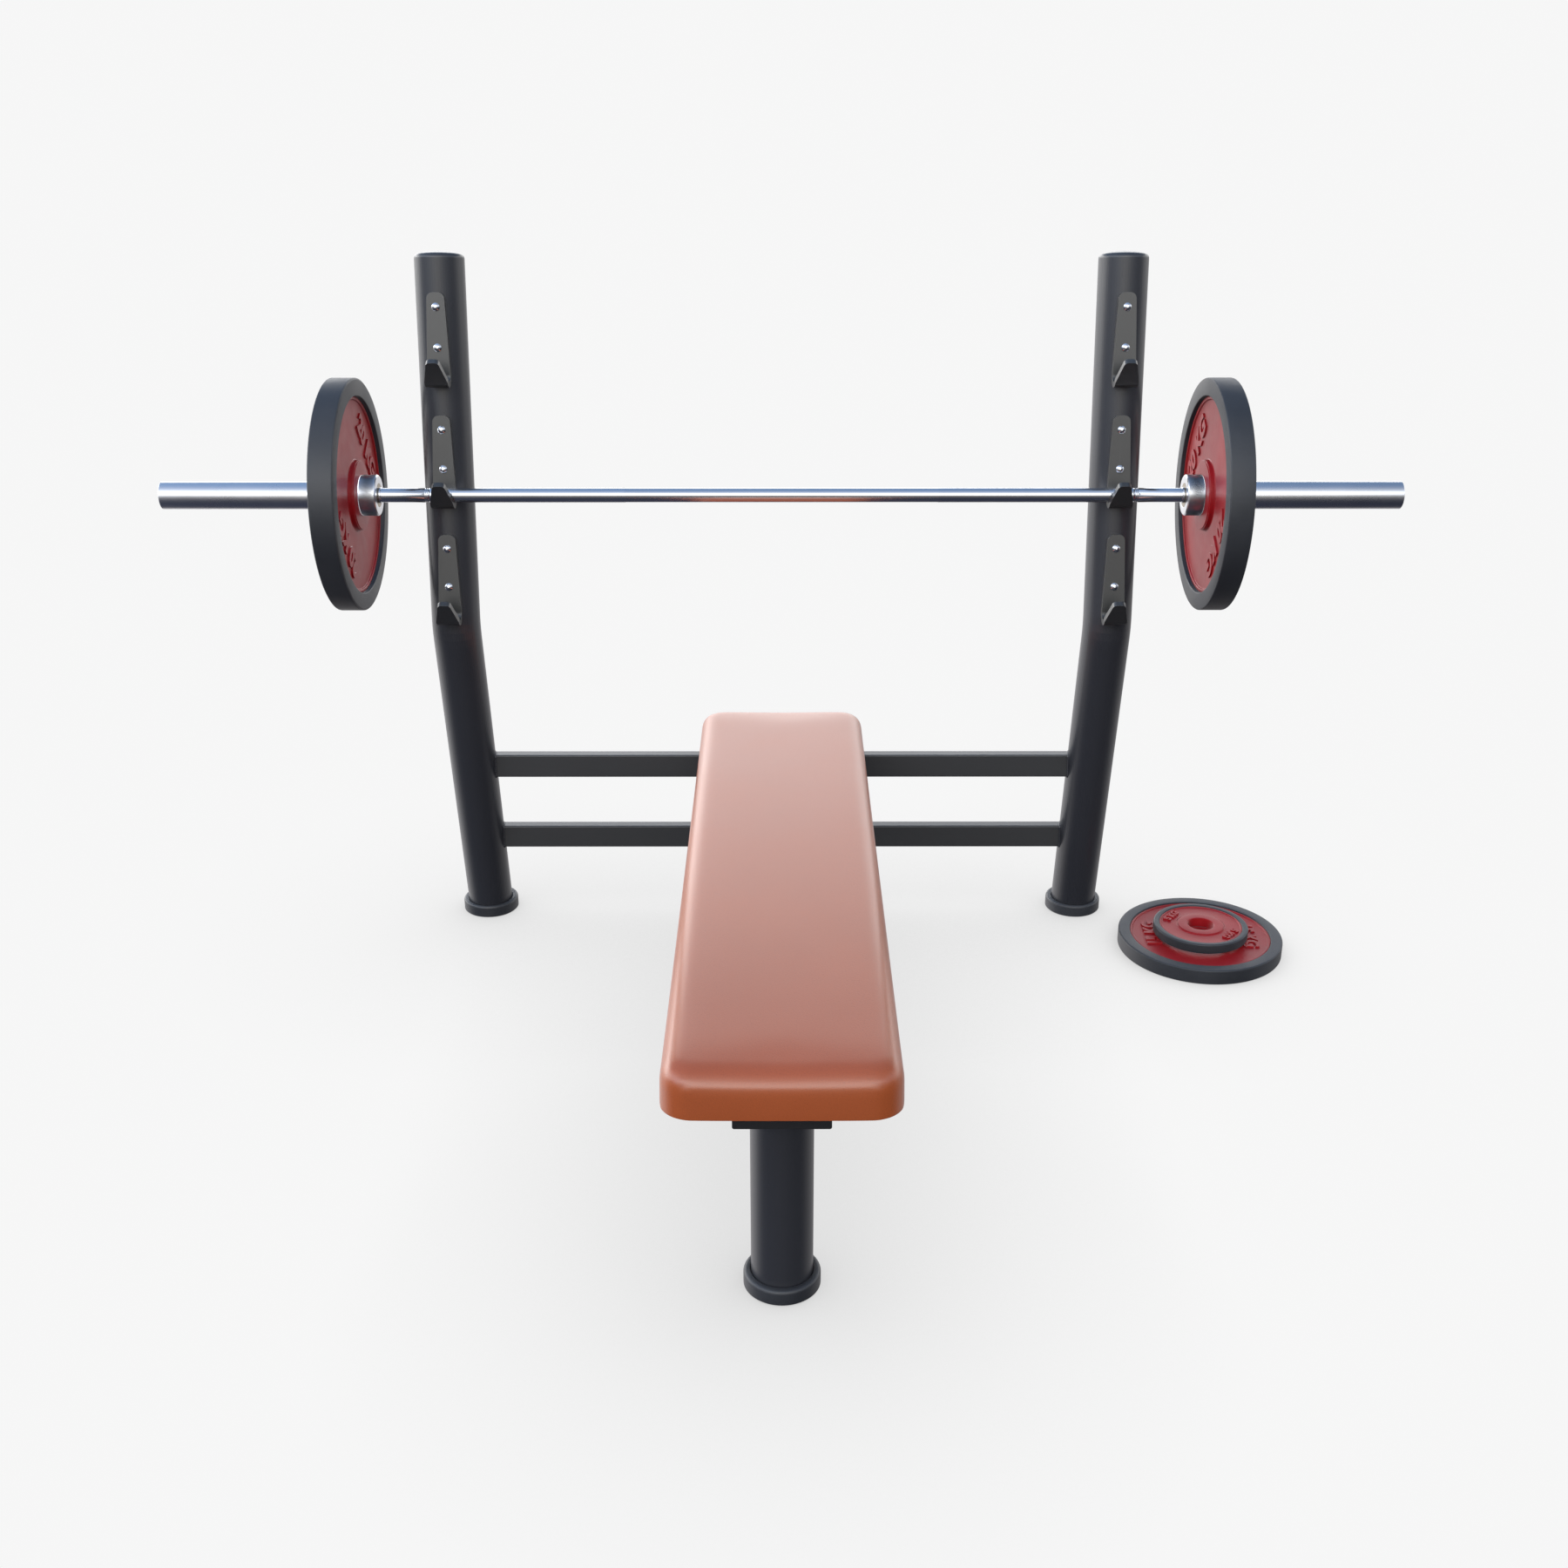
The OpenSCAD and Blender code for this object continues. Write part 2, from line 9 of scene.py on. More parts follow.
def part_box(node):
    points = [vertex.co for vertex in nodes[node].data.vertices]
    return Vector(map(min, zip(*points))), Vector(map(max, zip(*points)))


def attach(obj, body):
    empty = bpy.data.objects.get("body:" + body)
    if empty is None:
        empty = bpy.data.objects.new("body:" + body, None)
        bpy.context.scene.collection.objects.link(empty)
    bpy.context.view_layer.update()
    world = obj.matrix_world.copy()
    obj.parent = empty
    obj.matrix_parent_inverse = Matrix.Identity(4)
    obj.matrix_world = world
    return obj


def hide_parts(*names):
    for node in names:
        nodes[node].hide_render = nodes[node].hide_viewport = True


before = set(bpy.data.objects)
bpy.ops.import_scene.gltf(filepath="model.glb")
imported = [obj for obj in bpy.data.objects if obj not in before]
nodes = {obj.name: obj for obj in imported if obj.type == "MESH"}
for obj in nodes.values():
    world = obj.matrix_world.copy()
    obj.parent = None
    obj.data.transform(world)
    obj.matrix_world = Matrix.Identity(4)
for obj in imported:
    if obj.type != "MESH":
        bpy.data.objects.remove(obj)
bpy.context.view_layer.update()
scene = bpy.context.scene
scene.view_settings.view_transform = "Standard"
print("stage: frame loaded,", len(nodes), "nodes")

alongX = Vector((1, 0, 0))
toRear = Vector((0, 1, 0))
upZ = Vector((0, 0, 1))
joinGap = 5e-6  # corners closer than this are one
tiny = 1e-6  # a length that counts as nothing
hairline = 1e-7
flatAngle = 0.4  # degrees between faces or stretches that count as one

cameraSettings = {
    "place": (0.0, -2.5208, 1.57575),
    "tiltDegrees": 67.693,
    "turnDegrees": -0.079,
    "lens": 39.124,
    "sensor": 36.0,
}


def makeCamera(settings):
    data = bpy.data.cameras.new("camera")
    data.lens = settings["lens"]
    data.sensor_width = settings["sensor"]
    camera = bpy.data.objects.new("camera", data)
    camera.location = settings["place"]
    camera.rotation_euler = (math.radians(settings["tiltDegrees"]), 0, math.radians(settings["turnDegrees"]))
    scene.collection.objects.link(camera)
    scene.camera = camera


makeCamera(cameraSettings)
print("stage: camera placed")


def put(tree, kind, inputs=None, **settings):
    # one node with its settings, and its inputs given as values or as sockets to join
    node = tree.nodes.new(kind)
    for name, value in settings.items():
        setattr(node, name, value)
    for name, value in (inputs or {}).items():
        if isinstance(value, bpy.types.NodeSocket):
            tree.links.new(value, node.inputs[name])
        else:
            node.inputs[name].default_value = value
    return node


def maths(tree, operation, first, second=0.0, clamp=False):
    node = put(tree, "ShaderNodeMath", {0: first, 1: second}, operation=operation, use_clamp=clamp)
    return node.outputs[0]


def ranged(tree, value, low=0.0, high=1.0, first=0.0, last=1.0, **settings):
    # value carried from low..high to first..last
    limits = {"Value": value, "From Min": low, "From Max": high, "To Min": first, "To Max": last}
    return put(tree, "ShaderNodeMapRange", limits, **settings).outputs[0]


def rampOf(tree, factor, stops):
    ramp = put(tree, "ShaderNodeValToRGB", {"Fac": factor})
    elements = ramp.color_ramp.elements
    while len(elements) < len(stops):
        elements.new(0.5)
    for element, (place, colour) in zip(elements, stops):
        element.position = place
        element.color = (*colour, 1)
    return ramp.outputs["Color"]


def mixColour(tree, factor, first, second, blend="MIX"):
    node = put(tree, "ShaderNodeMix", {0: factor}, data_type="RGBA", blend_type=blend)
    for socket, value in ((node.inputs[6], first), (node.inputs[7], second)):
        if isinstance(value, bpy.types.NodeSocket):
            tree.links.new(value, socket)
        else:
            socket.default_value = (*value, 1)
    return node.outputs[2]


def newGroup(name, inputs, outputs):
    group = bpy.data.node_groups.new(name, "ShaderNodeTree")
    for label, value in inputs:
        socket = group.interface.new_socket(label, in_out="INPUT", socket_type="NodeSocketFloat")
        socket.default_value = value
    for label in outputs:
        group.interface.new_socket(label, in_out="OUTPUT", socket_type="NodeSocketFloat")
    return group, group.nodes.new("NodeGroupInput"), group.nodes.new("NodeGroupOutput")


def useGroup(tree, group, **values):
    node = tree.nodes.new("ShaderNodeGroup")
    node.node_tree = group
    for name, value in values.items():
        node.inputs[name].default_value = value
    return node


def makeCoatGrain():
    # the fine orange peel of sprayed or moulded surfaces, and a slow drift in tone
    group, given, out = newGroup("coatGrain", [("Size", 900.0), ("Drift", 6.0)], ["Height", "Tone"])
    place = group.nodes.new("ShaderNodeTexCoord").outputs["Object"]
    fine = put(group, "ShaderNodeTexNoise", {"Vector": place, "Scale": given.outputs["Size"], "Detail": 2.0})
    slow = put(group, "ShaderNodeTexNoise", {"Vector": place, "Scale": given.outputs["Drift"], "Detail": 4.0})
    group.links.new(fine.outputs["Fac"], out.inputs["Height"])
    group.links.new(slow.outputs["Fac"], out.inputs["Tone"])
    return group


def makePaintedEdgeHighlight():
    # a broken mask along raised edges, for pieces whose mesh is joined up, marking where a painted highlight
    # goes
    group, given, out = newGroup("paintedEdgeHighlight", [("Start", 0.53), ("End", 0.62), ("Breakup", 60.0)], ["Mask"])
    point = group.nodes.new("ShaderNodeNewGeometry").outputs["Pointiness"]
    place = group.nodes.new("ShaderNodeTexCoord").outputs["Object"]
    rough = put(group, "ShaderNodeTexNoise", {
        "Vector": place, "Scale": given.outputs["Breakup"], "Detail": 3.0})
    edge = ranged(group, point, given.outputs["Start"], given.outputs["End"])
    broken = ranged(group, rough.outputs["Fac"], 0.35, 0.65)
    group.links.new(maths(group, "MULTIPLY", edge, broken), out.inputs["Mask"])
    return group


def makeScuffs():
    # thin long scratches and handling marks
    group, given, out = newGroup("scuffs", [("Size", 40.0), ("Stretch", 12.0)], ["Mask"])
    place = group.nodes.new("ShaderNodeTexCoord").outputs["Object"]
    thin = put(group, "ShaderNodeCombineXYZ", {"X": 1.0, "Y": given.outputs["Stretch"], "Z": 3.0})
    stretched = put(group, "ShaderNodeVectorMath", {0: place, 1: thin.outputs[0]}, operation="MULTIPLY")
    marks = put(group, "ShaderNodeTexNoise", {
        "Vector": stretched.outputs[0], "Scale": given.outputs["Size"], "Detail": 5.0, "Distortion": 0.6})
    group.links.new(ranged(group, marks.outputs["Fac"], 0.6, 0.72), out.inputs["Mask"])
    return group


def makeLeatherGrain():
    # the pebbled emboss of vinyl: rounded cells with soft valleys, broken by fine noise
    group, given, out = newGroup("leatherGrain", [("Size", 700.0), ("Fine", 2600.0)], ["Height", "Valley"])
    place = group.nodes.new("ShaderNodeTexCoord").outputs["Object"]
    cells = put(group, "ShaderNodeTexVoronoi", {
        "Vector": place, "Scale": given.outputs["Size"]}, feature="SMOOTH_F1")
    fine = put(group, "ShaderNodeTexNoise", {"Vector": place, "Scale": given.outputs["Fine"], "Detail": 2.0})
    body = maths(group, "MULTIPLY", fine.outputs["Fac"], 0.25)
    high = maths(group, "SUBTRACT", 1.0, cells.outputs["Distance"])
    group.links.new(maths(group, "ADD", high, body), out.inputs["Height"])
    group.links.new(cells.outputs["Distance"], out.inputs["Valley"])
    return group


coatGrain = makeCoatGrain()
paintedEdgeHighlight = makePaintedEdgeHighlight()
scuffs = makeScuffs()
leatherGrain = makeLeatherGrain()


def newMaterial(name, fixed):
    material = bpy.data.materials.new(name)
    material.use_nodes = True
    tree = material.node_tree
    shader = next(n for n in tree.nodes if n.type == "BSDF_PRINCIPLED")
    for socket, value in fixed.items():
        shader.inputs[socket].default_value = value
    return material, tree, shader


def shade(colour, by, plus=0.0):
    return tuple(min(1.0, c * by + plus) for c in colour)


def finishOff(tree, shader, base, rough, height, strength, distance):
    # joins the colour, roughness and bump to the shader
    tree.links.new(base, shader.inputs["Base Color"])
    if rough is not None:
        tree.links.new(rough, shader.inputs["Roughness"])
    bump = put(tree, "ShaderNodeBump", {"Height": height, "Strength": strength, "Distance": distance})
    tree.links.new(bump.outputs[0], shader.inputs["Normal"])


def coated(name, colour, roughness, peel=0.08, edgeHighlightColour=None, size=900.0, fixed=None):
    # sprayed, moulded or powder-coated: colour with drift, peel in the bump, optional painted highlight on
    # raised edges
    material, tree, shader = newMaterial(name, fixed or {})
    grain = useGroup(tree, coatGrain, Size=size)
    base = mixColour(tree, grain.outputs["Tone"], shade(colour, 0.93), shade(colour, 1.07))
    rough = ranged(tree, grain.outputs["Tone"], first=roughness - 0.02, last=roughness + 0.03)
    marks = useGroup(tree, scuffs)
    rough = maths(tree, "ADD", rough, maths(tree, "MULTIPLY", marks.outputs["Mask"], 0.03))
    # raised edges painted in a lighter colour: painted highlight
    if edgeHighlightColour:
        edgeHighlight = useGroup(tree, paintedEdgeHighlight)
        base = mixColour(tree, edgeHighlight.outputs["Mask"], base, edgeHighlightColour)
    finishOff(tree, shader, base, rough, grain.outputs["Height"], peel, 0.0006)
    return material


def rubber(name, colour, roughness):
    # dense rubber: fine stipple, faint grey bloom in patches, and a painted highlight along raised edges
    material, tree, shader = newMaterial(name, {"IOR": 1.62})
    grain = useGroup(tree, coatGrain, Size=1500.0, Drift=9.0)
    bloom = ranged(tree, grain.outputs["Tone"], 0.4, 0.75)
    bloomAndEdgeHighlight = shade(colour, 1.35, 0.004)
    base = mixColour(tree, bloom, colour, bloomAndEdgeHighlight)
    # lighter along raised edges: painted highlight
    edgeHighlight = useGroup(tree, paintedEdgeHighlight, Start=0.52, End=0.6)
    base = mixColour(tree, maths(tree, "MULTIPLY", edgeHighlight.outputs["Mask"], 0.35), base, bloomAndEdgeHighlight)
    rough = ranged(tree, bloom, first=roughness, last=roughness + 0.1)
    finishOff(tree, shader, base, rough, grain.outputs["Height"], 0.25, 0.0005)
    return material


def castEnamel(name, colour, roughness):
    # thick enamel over cast iron: lumpy skin under a gloss, colour deeper and lighter in slow patches
    material, tree, shader = newMaterial(name, {"IOR": 1.45})
    grain = useGroup(tree, coatGrain, Size=260.0, Drift=11.0)
    fine = useGroup(tree, coatGrain, Size=1100.0, Drift=40.0)
    base = mixColour(tree, grain.outputs["Tone"], shade(colour, 0.72), shade(colour, 1.2))
    # lighter along raised edges: painted highlight
    edgeHighlight = useGroup(tree, paintedEdgeHighlight, Start=0.54, End=0.66)
    paintedEdgeLight = maths(tree, "MULTIPLY", edgeHighlight.outputs["Mask"], 0.5)
    base = mixColour(tree, paintedEdgeLight, base, shade(colour, 1.25, 0.05))
    rough = ranged(tree, fine.outputs["Tone"], first=roughness - 0.05, last=roughness + 0.08)
    lumps = maths(tree, "ADD", grain.outputs["Height"], maths(tree, "MULTIPLY", fine.outputs["Height"], 0.3))
    finishOff(tree, shader, base, rough, lumps, 0.22, 0.0008)
    return material


def bareMetal(name, colour, roughness, lines=0.0, lying=True):
    # plated or turned metal: faint lathe lines round its axis, hairline scratches, cloudy roughness
    material, tree, shader = newMaterial(name, {"Metallic": 1.0})
    grain = useGroup(tree, coatGrain, Size=500.0, Drift=14.0)
    marks = useGroup(tree, scuffs, Size=70.0, Stretch=30.0)
    base = mixColour(tree, grain.outputs["Tone"], shade(colour, 0.93), colour)
    cloudy = ranged(tree, grain.outputs["Tone"], first=roughness * 0.8, last=roughness * 1.25)
    rough = maths(tree, "ADD", cloudy, maths(tree, "MULTIPLY", marks.outputs["Mask"], 0.05))
    place = tree.nodes.new("ShaderNodeTexCoord").outputs["Object"]
    along = put(tree, "ShaderNodeSeparateXYZ", {0: place}).outputs[0 if lying else 2]
    turned = put(tree, "ShaderNodeTexNoise", {"W": maths(tree, "MULTIPLY", along, 1400.0), "Detail": 3.0},
                 noise_dimensions="1D")
    finishOff(tree, shader, base, rough, turned.outputs["Fac"], lines, 0.0003)
    return material


def vinyl(name, colour, roughness):
    # upholstery vinyl: pebble emboss, painted shade in the valleys, slow tone drift and a waxy sheen
    material, tree, shader = newMaterial(name, {
        "IOR": 1.8, "Sheen Weight": 0.12, "Sheen Roughness": 0.35, "Sheen Tint": (1.0, 0.9, 0.86, 1)})
    grain = useGroup(tree, leatherGrain)
    drift = useGroup(tree, coatGrain, Drift=5.0)
    base = mixColour(tree, drift.outputs["Tone"], shade(colour, 0.9), shade(colour, 1.1))
    # darker in the grain's valleys: painted shade
    paintedValleyShade = ranged(tree, grain.outputs["Valley"], 0.35, 0.9, last=0.3)
    base = mixColour(tree, paintedValleyShade, base, shade(colour, 0.6))
    rough = ranged(tree, drift.outputs["Tone"], first=roughness - 0.04, last=roughness + 0.05)
    finishOff(tree, shader, base, rough, grain.outputs["Height"], 0.16, 0.0006)
    return material


def foamOrWood(name, first, second, size, stretch, roughness):
    # open foam or ply, from one stretched noise
    material, tree, shader = newMaterial(name, {"Roughness": roughness})
    place = tree.nodes.new("ShaderNodeTexCoord").outputs["Object"]
    spread = put(tree, "ShaderNodeMapping", {"Vector": place, "Scale": stretch})
    veins = put(tree, "ShaderNodeTexNoise", {"Vector": spread.outputs[0], "Scale": size, "Detail": 6.0})
    base = mixColour(tree, veins.outputs["Fac"], first, second)
    finishOff(tree, shader, base, None, veins.outputs["Fac"], 0.3, 0.0006)
    return material


framePaint = coated("framePaint", (0.036, 0.037, 0.043), 0.3, peel=0.05, fixed={"IOR": 1.62})
# the frame's paint made lighter for the crossbars: painted light for the brighter look they have
paintedLightBarPaint = coated("crossbarPaintPaintedLight", (0.054, 0.054, 0.054), 0.34, fixed={"IOR": 1.6})
# the hooks' raised edges get a lighter bluish colour: painted highlight
hookPaint = coated("hookPaint", (0.030, 0.030, 0.027), 0.36, edgeHighlightColour=(0.06, 0.063, 0.07), fixed={"IOR": 1.95})
capPlastic = coated("capPlastic", (0.036, 0.039, 0.047), 0.3, peel=0.1, size=1400.0, fixed={"IOR": 1.62})
plugPlastic = coated("plugPlastic", (0.022, 0.022, 0.024), 0.5, peel=0.2, size=1400.0)
footRubber = rubber("footRubber", (0.030, 0.032, 0.037), 0.42)
plateRubber = rubber("plateRubber", (0.030, 0.032, 0.037), 0.46)
plateEnamel = castEnamel("plateEnamel", (0.40, 0.008, 0.012), 0.4)
shaftChrome = bareMetal("shaftChrome", (0.82, 0.83, 0.86), 0.16, 0.03)
sleeveChrome = bareMetal("sleeveChrome", (0.84, 0.85, 0.88), 0.27, 0.05)
screwChrome = bareMetal("screwChrome", (0.85, 0.86, 0.88), 0.16)
plainSteel = bareMetal("plainSteel", (0.5, 0.5, 0.5), 0.32, 0.1, lying=False)
bushBronze = bareMetal("bushBronze", (0.5, 0.44, 0.36), 0.36, 0.1)
padVinyl = vinyl("padVinyl", (0.49, 0.106, 0.027), 0.3)
padBoard = foamOrWood("padBoard", (0.012, 0.010, 0.009), (0.035, 0.026, 0.02), 60.0, (6.0, 0.7, 6.0), 0.6)
padFoam = foamOrWood("padFoam", (0.55, 0.48, 0.32), (0.72, 0.66, 0.5), 900.0, (1.0, 1.0, 1.0), 0.9)
print("stage: materials made")


def addPiece(name, mesh, body, material, replaced=(), smooth=35.0):
    mesh.materials.clear()
    mesh.materials.append(material)
    if smooth:
        mesh.shade_smooth()
        mesh.set_sharp_from_angle(angle=math.radians(smooth))
    piece = bpy.data.objects.new(name, mesh)
    scene.collection.objects.link(piece)
    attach(piece, body)
    if replaced:
        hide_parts(*replaced)
    return piece


def meshFrom(work, name):
    mesh = bpy.data.meshes.new(name)
    work.to_mesh(mesh)
    work.free()
    return mesh


def heldObject(name, data):
    # an object to build on, taken out again once its mesh is made
    holder = bpy.data.objects.new(name, data)
    scene.collection.objects.link(holder)
    return holder


def evaluated(holder, modifiers):
    # the mesh of an object with these modifiers applied
    for kind, settings in modifiers:
        modifier = holder.modifiers.new(kind.lower(), kind)
        for name, value in settings.items():
            setattr(modifier, name, value)
    graph = bpy.context.evaluated_depsgraph_get()
    return bpy.data.meshes.new_from_object(holder.evaluated_get(graph), depsgraph=graph)


def joinedCopy(node):
    # a copy of a CAD node with its corners joined
    work = bmesh.new()
    work.from_mesh(nodes[node].data)
    bmesh.ops.remove_doubles(work, verts=work.verts, dist=joinGap)
    return work


def treeOf(node):
    # for finding where a line meets a CAD node
    work = bmesh.new()
    work.from_mesh(nodes[node].data)
    tree = BVHTree.FromBMesh(work)
    work.free()
    return tree


def bevelled(node, width, segments=3, angle=30.0):
    # a CAD node with its flat faces made whole and its edges softened
    work = joinedCopy(node)
    bmesh.ops.dissolve_limit(
        work, angle_limit=math.radians(flatAngle), verts=work.verts, edges=work.edges,
        use_dissolve_boundaries=False)
    holder = heldObject("bevelHolder", meshFrom(work, node + "_soft"))
    holder.data.shade_smooth()
    bevel = {"width": width, "segments": segments, "limit_method": "ANGLE",
             "angle_limit": math.radians(angle), "harden_normals": False, "use_clamp_overlap": True}
    even = {"mode": "FACE_AREA", "weight": 100, "keep_sharp": False}
    mesh = evaluated(holder, [("BEVEL", bevel), ("WEIGHTED_NORMAL", even)])
    bpy.data.objects.remove(holder)
    return mesh


def cutOutline(node, centre, axis):
    # the outline of a turned part as (along, out) points, from one cut by a plane through its axis
    work = joinedCopy(node)
    offCorner = 0.013  # a small turn, so that the cut runs through no corner
    side = Matrix.Rotation(offCorner, 3, axis) @ axis.orthogonal().normalized()
    bmesh.ops.bisect_plane(
        work, geom=work.verts[:] + work.edges[:] + work.faces[:], plane_co=centre,
        plane_no=axis.cross(side), clear_inner=True, clear_outer=True)
    bmesh.ops.remove_doubles(work, verts=work.verts, dist=joinGap)
    flat = {v: ((v.co - centre).dot(axis), (v.co - centre).dot(side)) for v in work.verts}
    joined, ends = {}, []
    for edge in work.edges:
        a, b = edge.verts
        if flat[a][1] > tiny and flat[b][1] > tiny:
            joined.setdefault(a, []).append(b)
            joined.setdefault(b, []).append(a)
        elif max(flat[a][1], flat[b][1]) > tiny:
            ends.append(a if flat[a][1] > flat[b][1] else b)
    walk = [ends[0] if ends else next(iter(joined))]
    while True:
        onward = [v for v in joined.get(walk[-1], []) if v not in walk[-2:] and v != walk[0]]
        if not onward:
            break
        walk.append(onward[0])
    points = [flat[v] for v in walk]
    if ends:
        points = [(points[0][0], 0.0)] + points + [(points[-1][0], 0.0)]
    work.free()
    return tidyOutline(points, not ends), side, not ends


def tidyOutline(points, closed):
    # leaves out points on straight stretches
    kept = []
    count = len(points)
    for i, point in enumerate(points):
        if not closed and i in (0, count - 1):
            kept.append(point)
            continue
        before, after = Vector(points[i - 1]), Vector(points[(i + 1) % count])
        here = Vector(point)
        if (here - before).length < tiny:
            continue
        if (here - before).angle(after - here, 0.0) > math.radians(flatAngle):
            kept.append(point)
    return kept


def roundOutline(points, closed, radius, least=24.0, steps=4, share=0.42):
    # rounds the corners sharper than least degrees, over no more than a share of either stretch
    made = []
    count = len(points)
    for i, point in enumerate(points):
        here = Vector(point)
        if not closed and i in (0, count - 1):
            made.append(here)
            continue
        back, on = Vector(points[i - 1]) - here, Vector(points[(i + 1) % count]) - here
        if back.length < hairline or on.length < hairline or (-back).angle(on) < math.radians(least):
            made.append(here)
            continue
        reach = min(radius, share * back.length, share * on.length)
        start, end = here + back.normalized() * reach, here + on.normalized() * reach
        for k in range(steps + 1):
            t = k / steps
            made.append(start * (1 - t) ** 2 + here * (2 * t * (1 - t)) + end * t ** 2)
    return made


def spin(points, closed, centre, axis, side, segments, raised=None):
    # turns an outline round its axis into a closed mesh; raised(i, k) may lift single points
    across = axis.cross(side)
    work = bmesh.new()
    rings = []
    for i, (along, out) in enumerate(points):
        if out < tiny:
            rings.append([work.verts.new(centre + axis * along)])
            continue
        ring = []
        for k in range(segments):
            turn = 2 * math.pi * k / segments
            reach = out + (raised(i, k) if raised else 0.0)
            ring.append(work.verts.new(
                centre + axis * along + (side * math.cos(turn) + across * math.sin(turn)) * reach))
        rings.append(ring)
    pairs = list(zip(rings, rings[1:])) + ([(rings[-1], rings[0])] if closed else [])
    for a, b in pairs:
        for k in range(segments):
            n = (k + 1) % segments
            corners = [a[k % len(a)], b[k % len(b)], b[n % len(b)], a[n % len(a)]]
            whole = [c for j, c in enumerate(corners) if c is not corners[j - 1]]
            if len(whole) > 2:
                work.faces.new(whole)
    bmesh.ops.recalc_face_normals(work, faces=work.faces)
    return work


def turnedPiece(name, node, axis, body, material, rounding, segments):
    lo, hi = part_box(node)
    centre = (lo + hi) / 2
    points, side, closed = cutOutline(node, centre, axis)
    points = roundOutline(points, closed, rounding)
    mesh = meshFrom(spin(points, closed, centre, axis, side, segments), name)
    return addPiece(name, mesh, body, material, [node])


plateSettings = {
    "ironRounding": 0.003,
    "rubberRounding": 0.002,
    "segments": 144,
    "markRaise": 0.0024,
    "markBold": 0.045,
    "markSunk": 0.0004,
    "markBevel": 0.0004,
    "markCurve": 6,
    "rayStart": 0.1,
}

# name, words, node, axis, body, angles in degrees, share of the radius, length of the words, where 0 points
plateMarks = [
    ("leftPlateMarks", "20 KG", "plate_core_left", alongX, "left_plate", (34, 214), 0.6, 0.72, toRear),
    ("rightPlateMarks", "20 KG", "plate_core_right", alongX, "right_plate", (34, 214), 0.6, 0.72, toRear),
    ("largePlateMarks", "15 KG", "spare_large_core", upZ, "spare_large", (178, -4), 0.62, 0.62, alongX),
    ("smallPlateMarks", "5 KG", "spare_small_core", upZ, "spare_small", (143, -40), 0.72, 0.5, alongX),
]


def faceLevel(tree, centre, axis, out, way):
    # how far along the axis the iron's face lies at a point off the axis
    start = centre + out + axis * way * plateSettings["rayStart"]
    hit = tree.ray_cast(start, -axis * way)[0]
    return (hit - centre).dot(axis)


def raisedMark(name, words, node, axis, body, angles, share, length, zero):
    # the same words twice on each face, the tops of the letters towards the rim
    lo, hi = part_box(node)
    centre = (lo + hi) / 2
    reach = (hi - lo).x / 2 if axis is upZ else (hi - lo).z / 2
    tree = treeOf(node)
    curve = bpy.data.curves.new(name, "FONT")
    curve.body = words
    curve.align_x = "CENTER"
    curve.align_y = "CENTER"
    curve.extrude = (plateSettings["markRaise"] + plateSettings["markSunk"]) / 2
    curve.bevel_depth = plateSettings["markBevel"]
    curve.resolution_u = plateSettings["markCurve"]
    curve.offset = plateSettings["markBold"]
    holder = heldObject("markHolder", curve)
    letters = evaluated(holder, [])
    wide = max(v.co.x for v in letters.vertices) - min(v.co.x for v in letters.vertices)
    bpy.data.objects.remove(holder)
    bpy.data.curves.remove(curve)
    size = length * reach / wide
    squash = Matrix.Diagonal((size, size, 1, 1))
    work = bmesh.new()
    for way in (1, -1):
        for angle in angles:
            turn = math.radians(angle)
            outward = (Matrix.Rotation(turn, 3, axis) @ zero).normalized()
            level = faceLevel(tree, centre, axis, outward * share * reach, way)
            normal = axis * way
            reading = outward.cross(normal)
            place = Matrix((reading, outward, normal)).transposed().to_4x4()
            lift = (plateSettings["markRaise"] - plateSettings["markSunk"]) / 2
            place.translation = centre + outward * share * reach + axis * level + normal * lift
            one = bmesh.new()
            one.from_mesh(letters)
            bmesh.ops.transform(one, matrix=place @ squash, verts=one.verts)
            part = meshFrom(one, "markPart")
            work.from_mesh(part)
            bpy.data.meshes.remove(part)
    bmesh.ops.remove_doubles(work, verts=work.verts, dist=hairline)
    bmesh.ops.recalc_face_normals(work, faces=work.faces)
    bpy.data.meshes.remove(letters)
    return addPiece(name, meshFrom(work, name), body, plateEnamel, smooth=40.0)


def makePlates():
    segments = plateSettings["segments"]
    parts = [
        ("left", "plate_core_left", "plate_rim_left", alongX, "left_plate"),
        ("right", "plate_core_right", "plate_rim_right", alongX, "right_plate"),
        ("large", "spare_large_core", "spare_large_rim", upZ, "spare_large"),
        ("small", "spare_small_core", "spare_small_rim", upZ, "spare_small"),
    ]
    for label, core, rim, axis, body in parts:
        iron = turnedPiece(label + "PlateIron", core, axis, body, plateEnamel,
                           plateSettings["ironRounding"], segments)
        iron.visible_glossy = False  # keeps the red out of the chrome beside it
        turnedPiece(label + "PlateRubber", rim, axis, body, plateRubber,
                    plateSettings["rubberRounding"], segments)
    for mark in plateMarks:
        raisedMark(*mark)


makePlates()
print("stage: plates turned")

shaftSettings = {
    "radius": 0.0125,
    "columns": 84,
    "rowStep": 0.00095,
    "knurlFrom": 0.277,
    "knurlTo": 0.622,
    "knurlDepth": 0.00022,
    "ringPlaces": (0.6265, 0.6295, 0.6325),
    "ringWidth": 0.0012,
    "ringDepth": 0.00045,
    "ringFloor": 0.4,
    "rounding": 0.0006,
}

sleeveSettings = {"rounding": 0.0008, "segments": 96, "capSegments": 64}


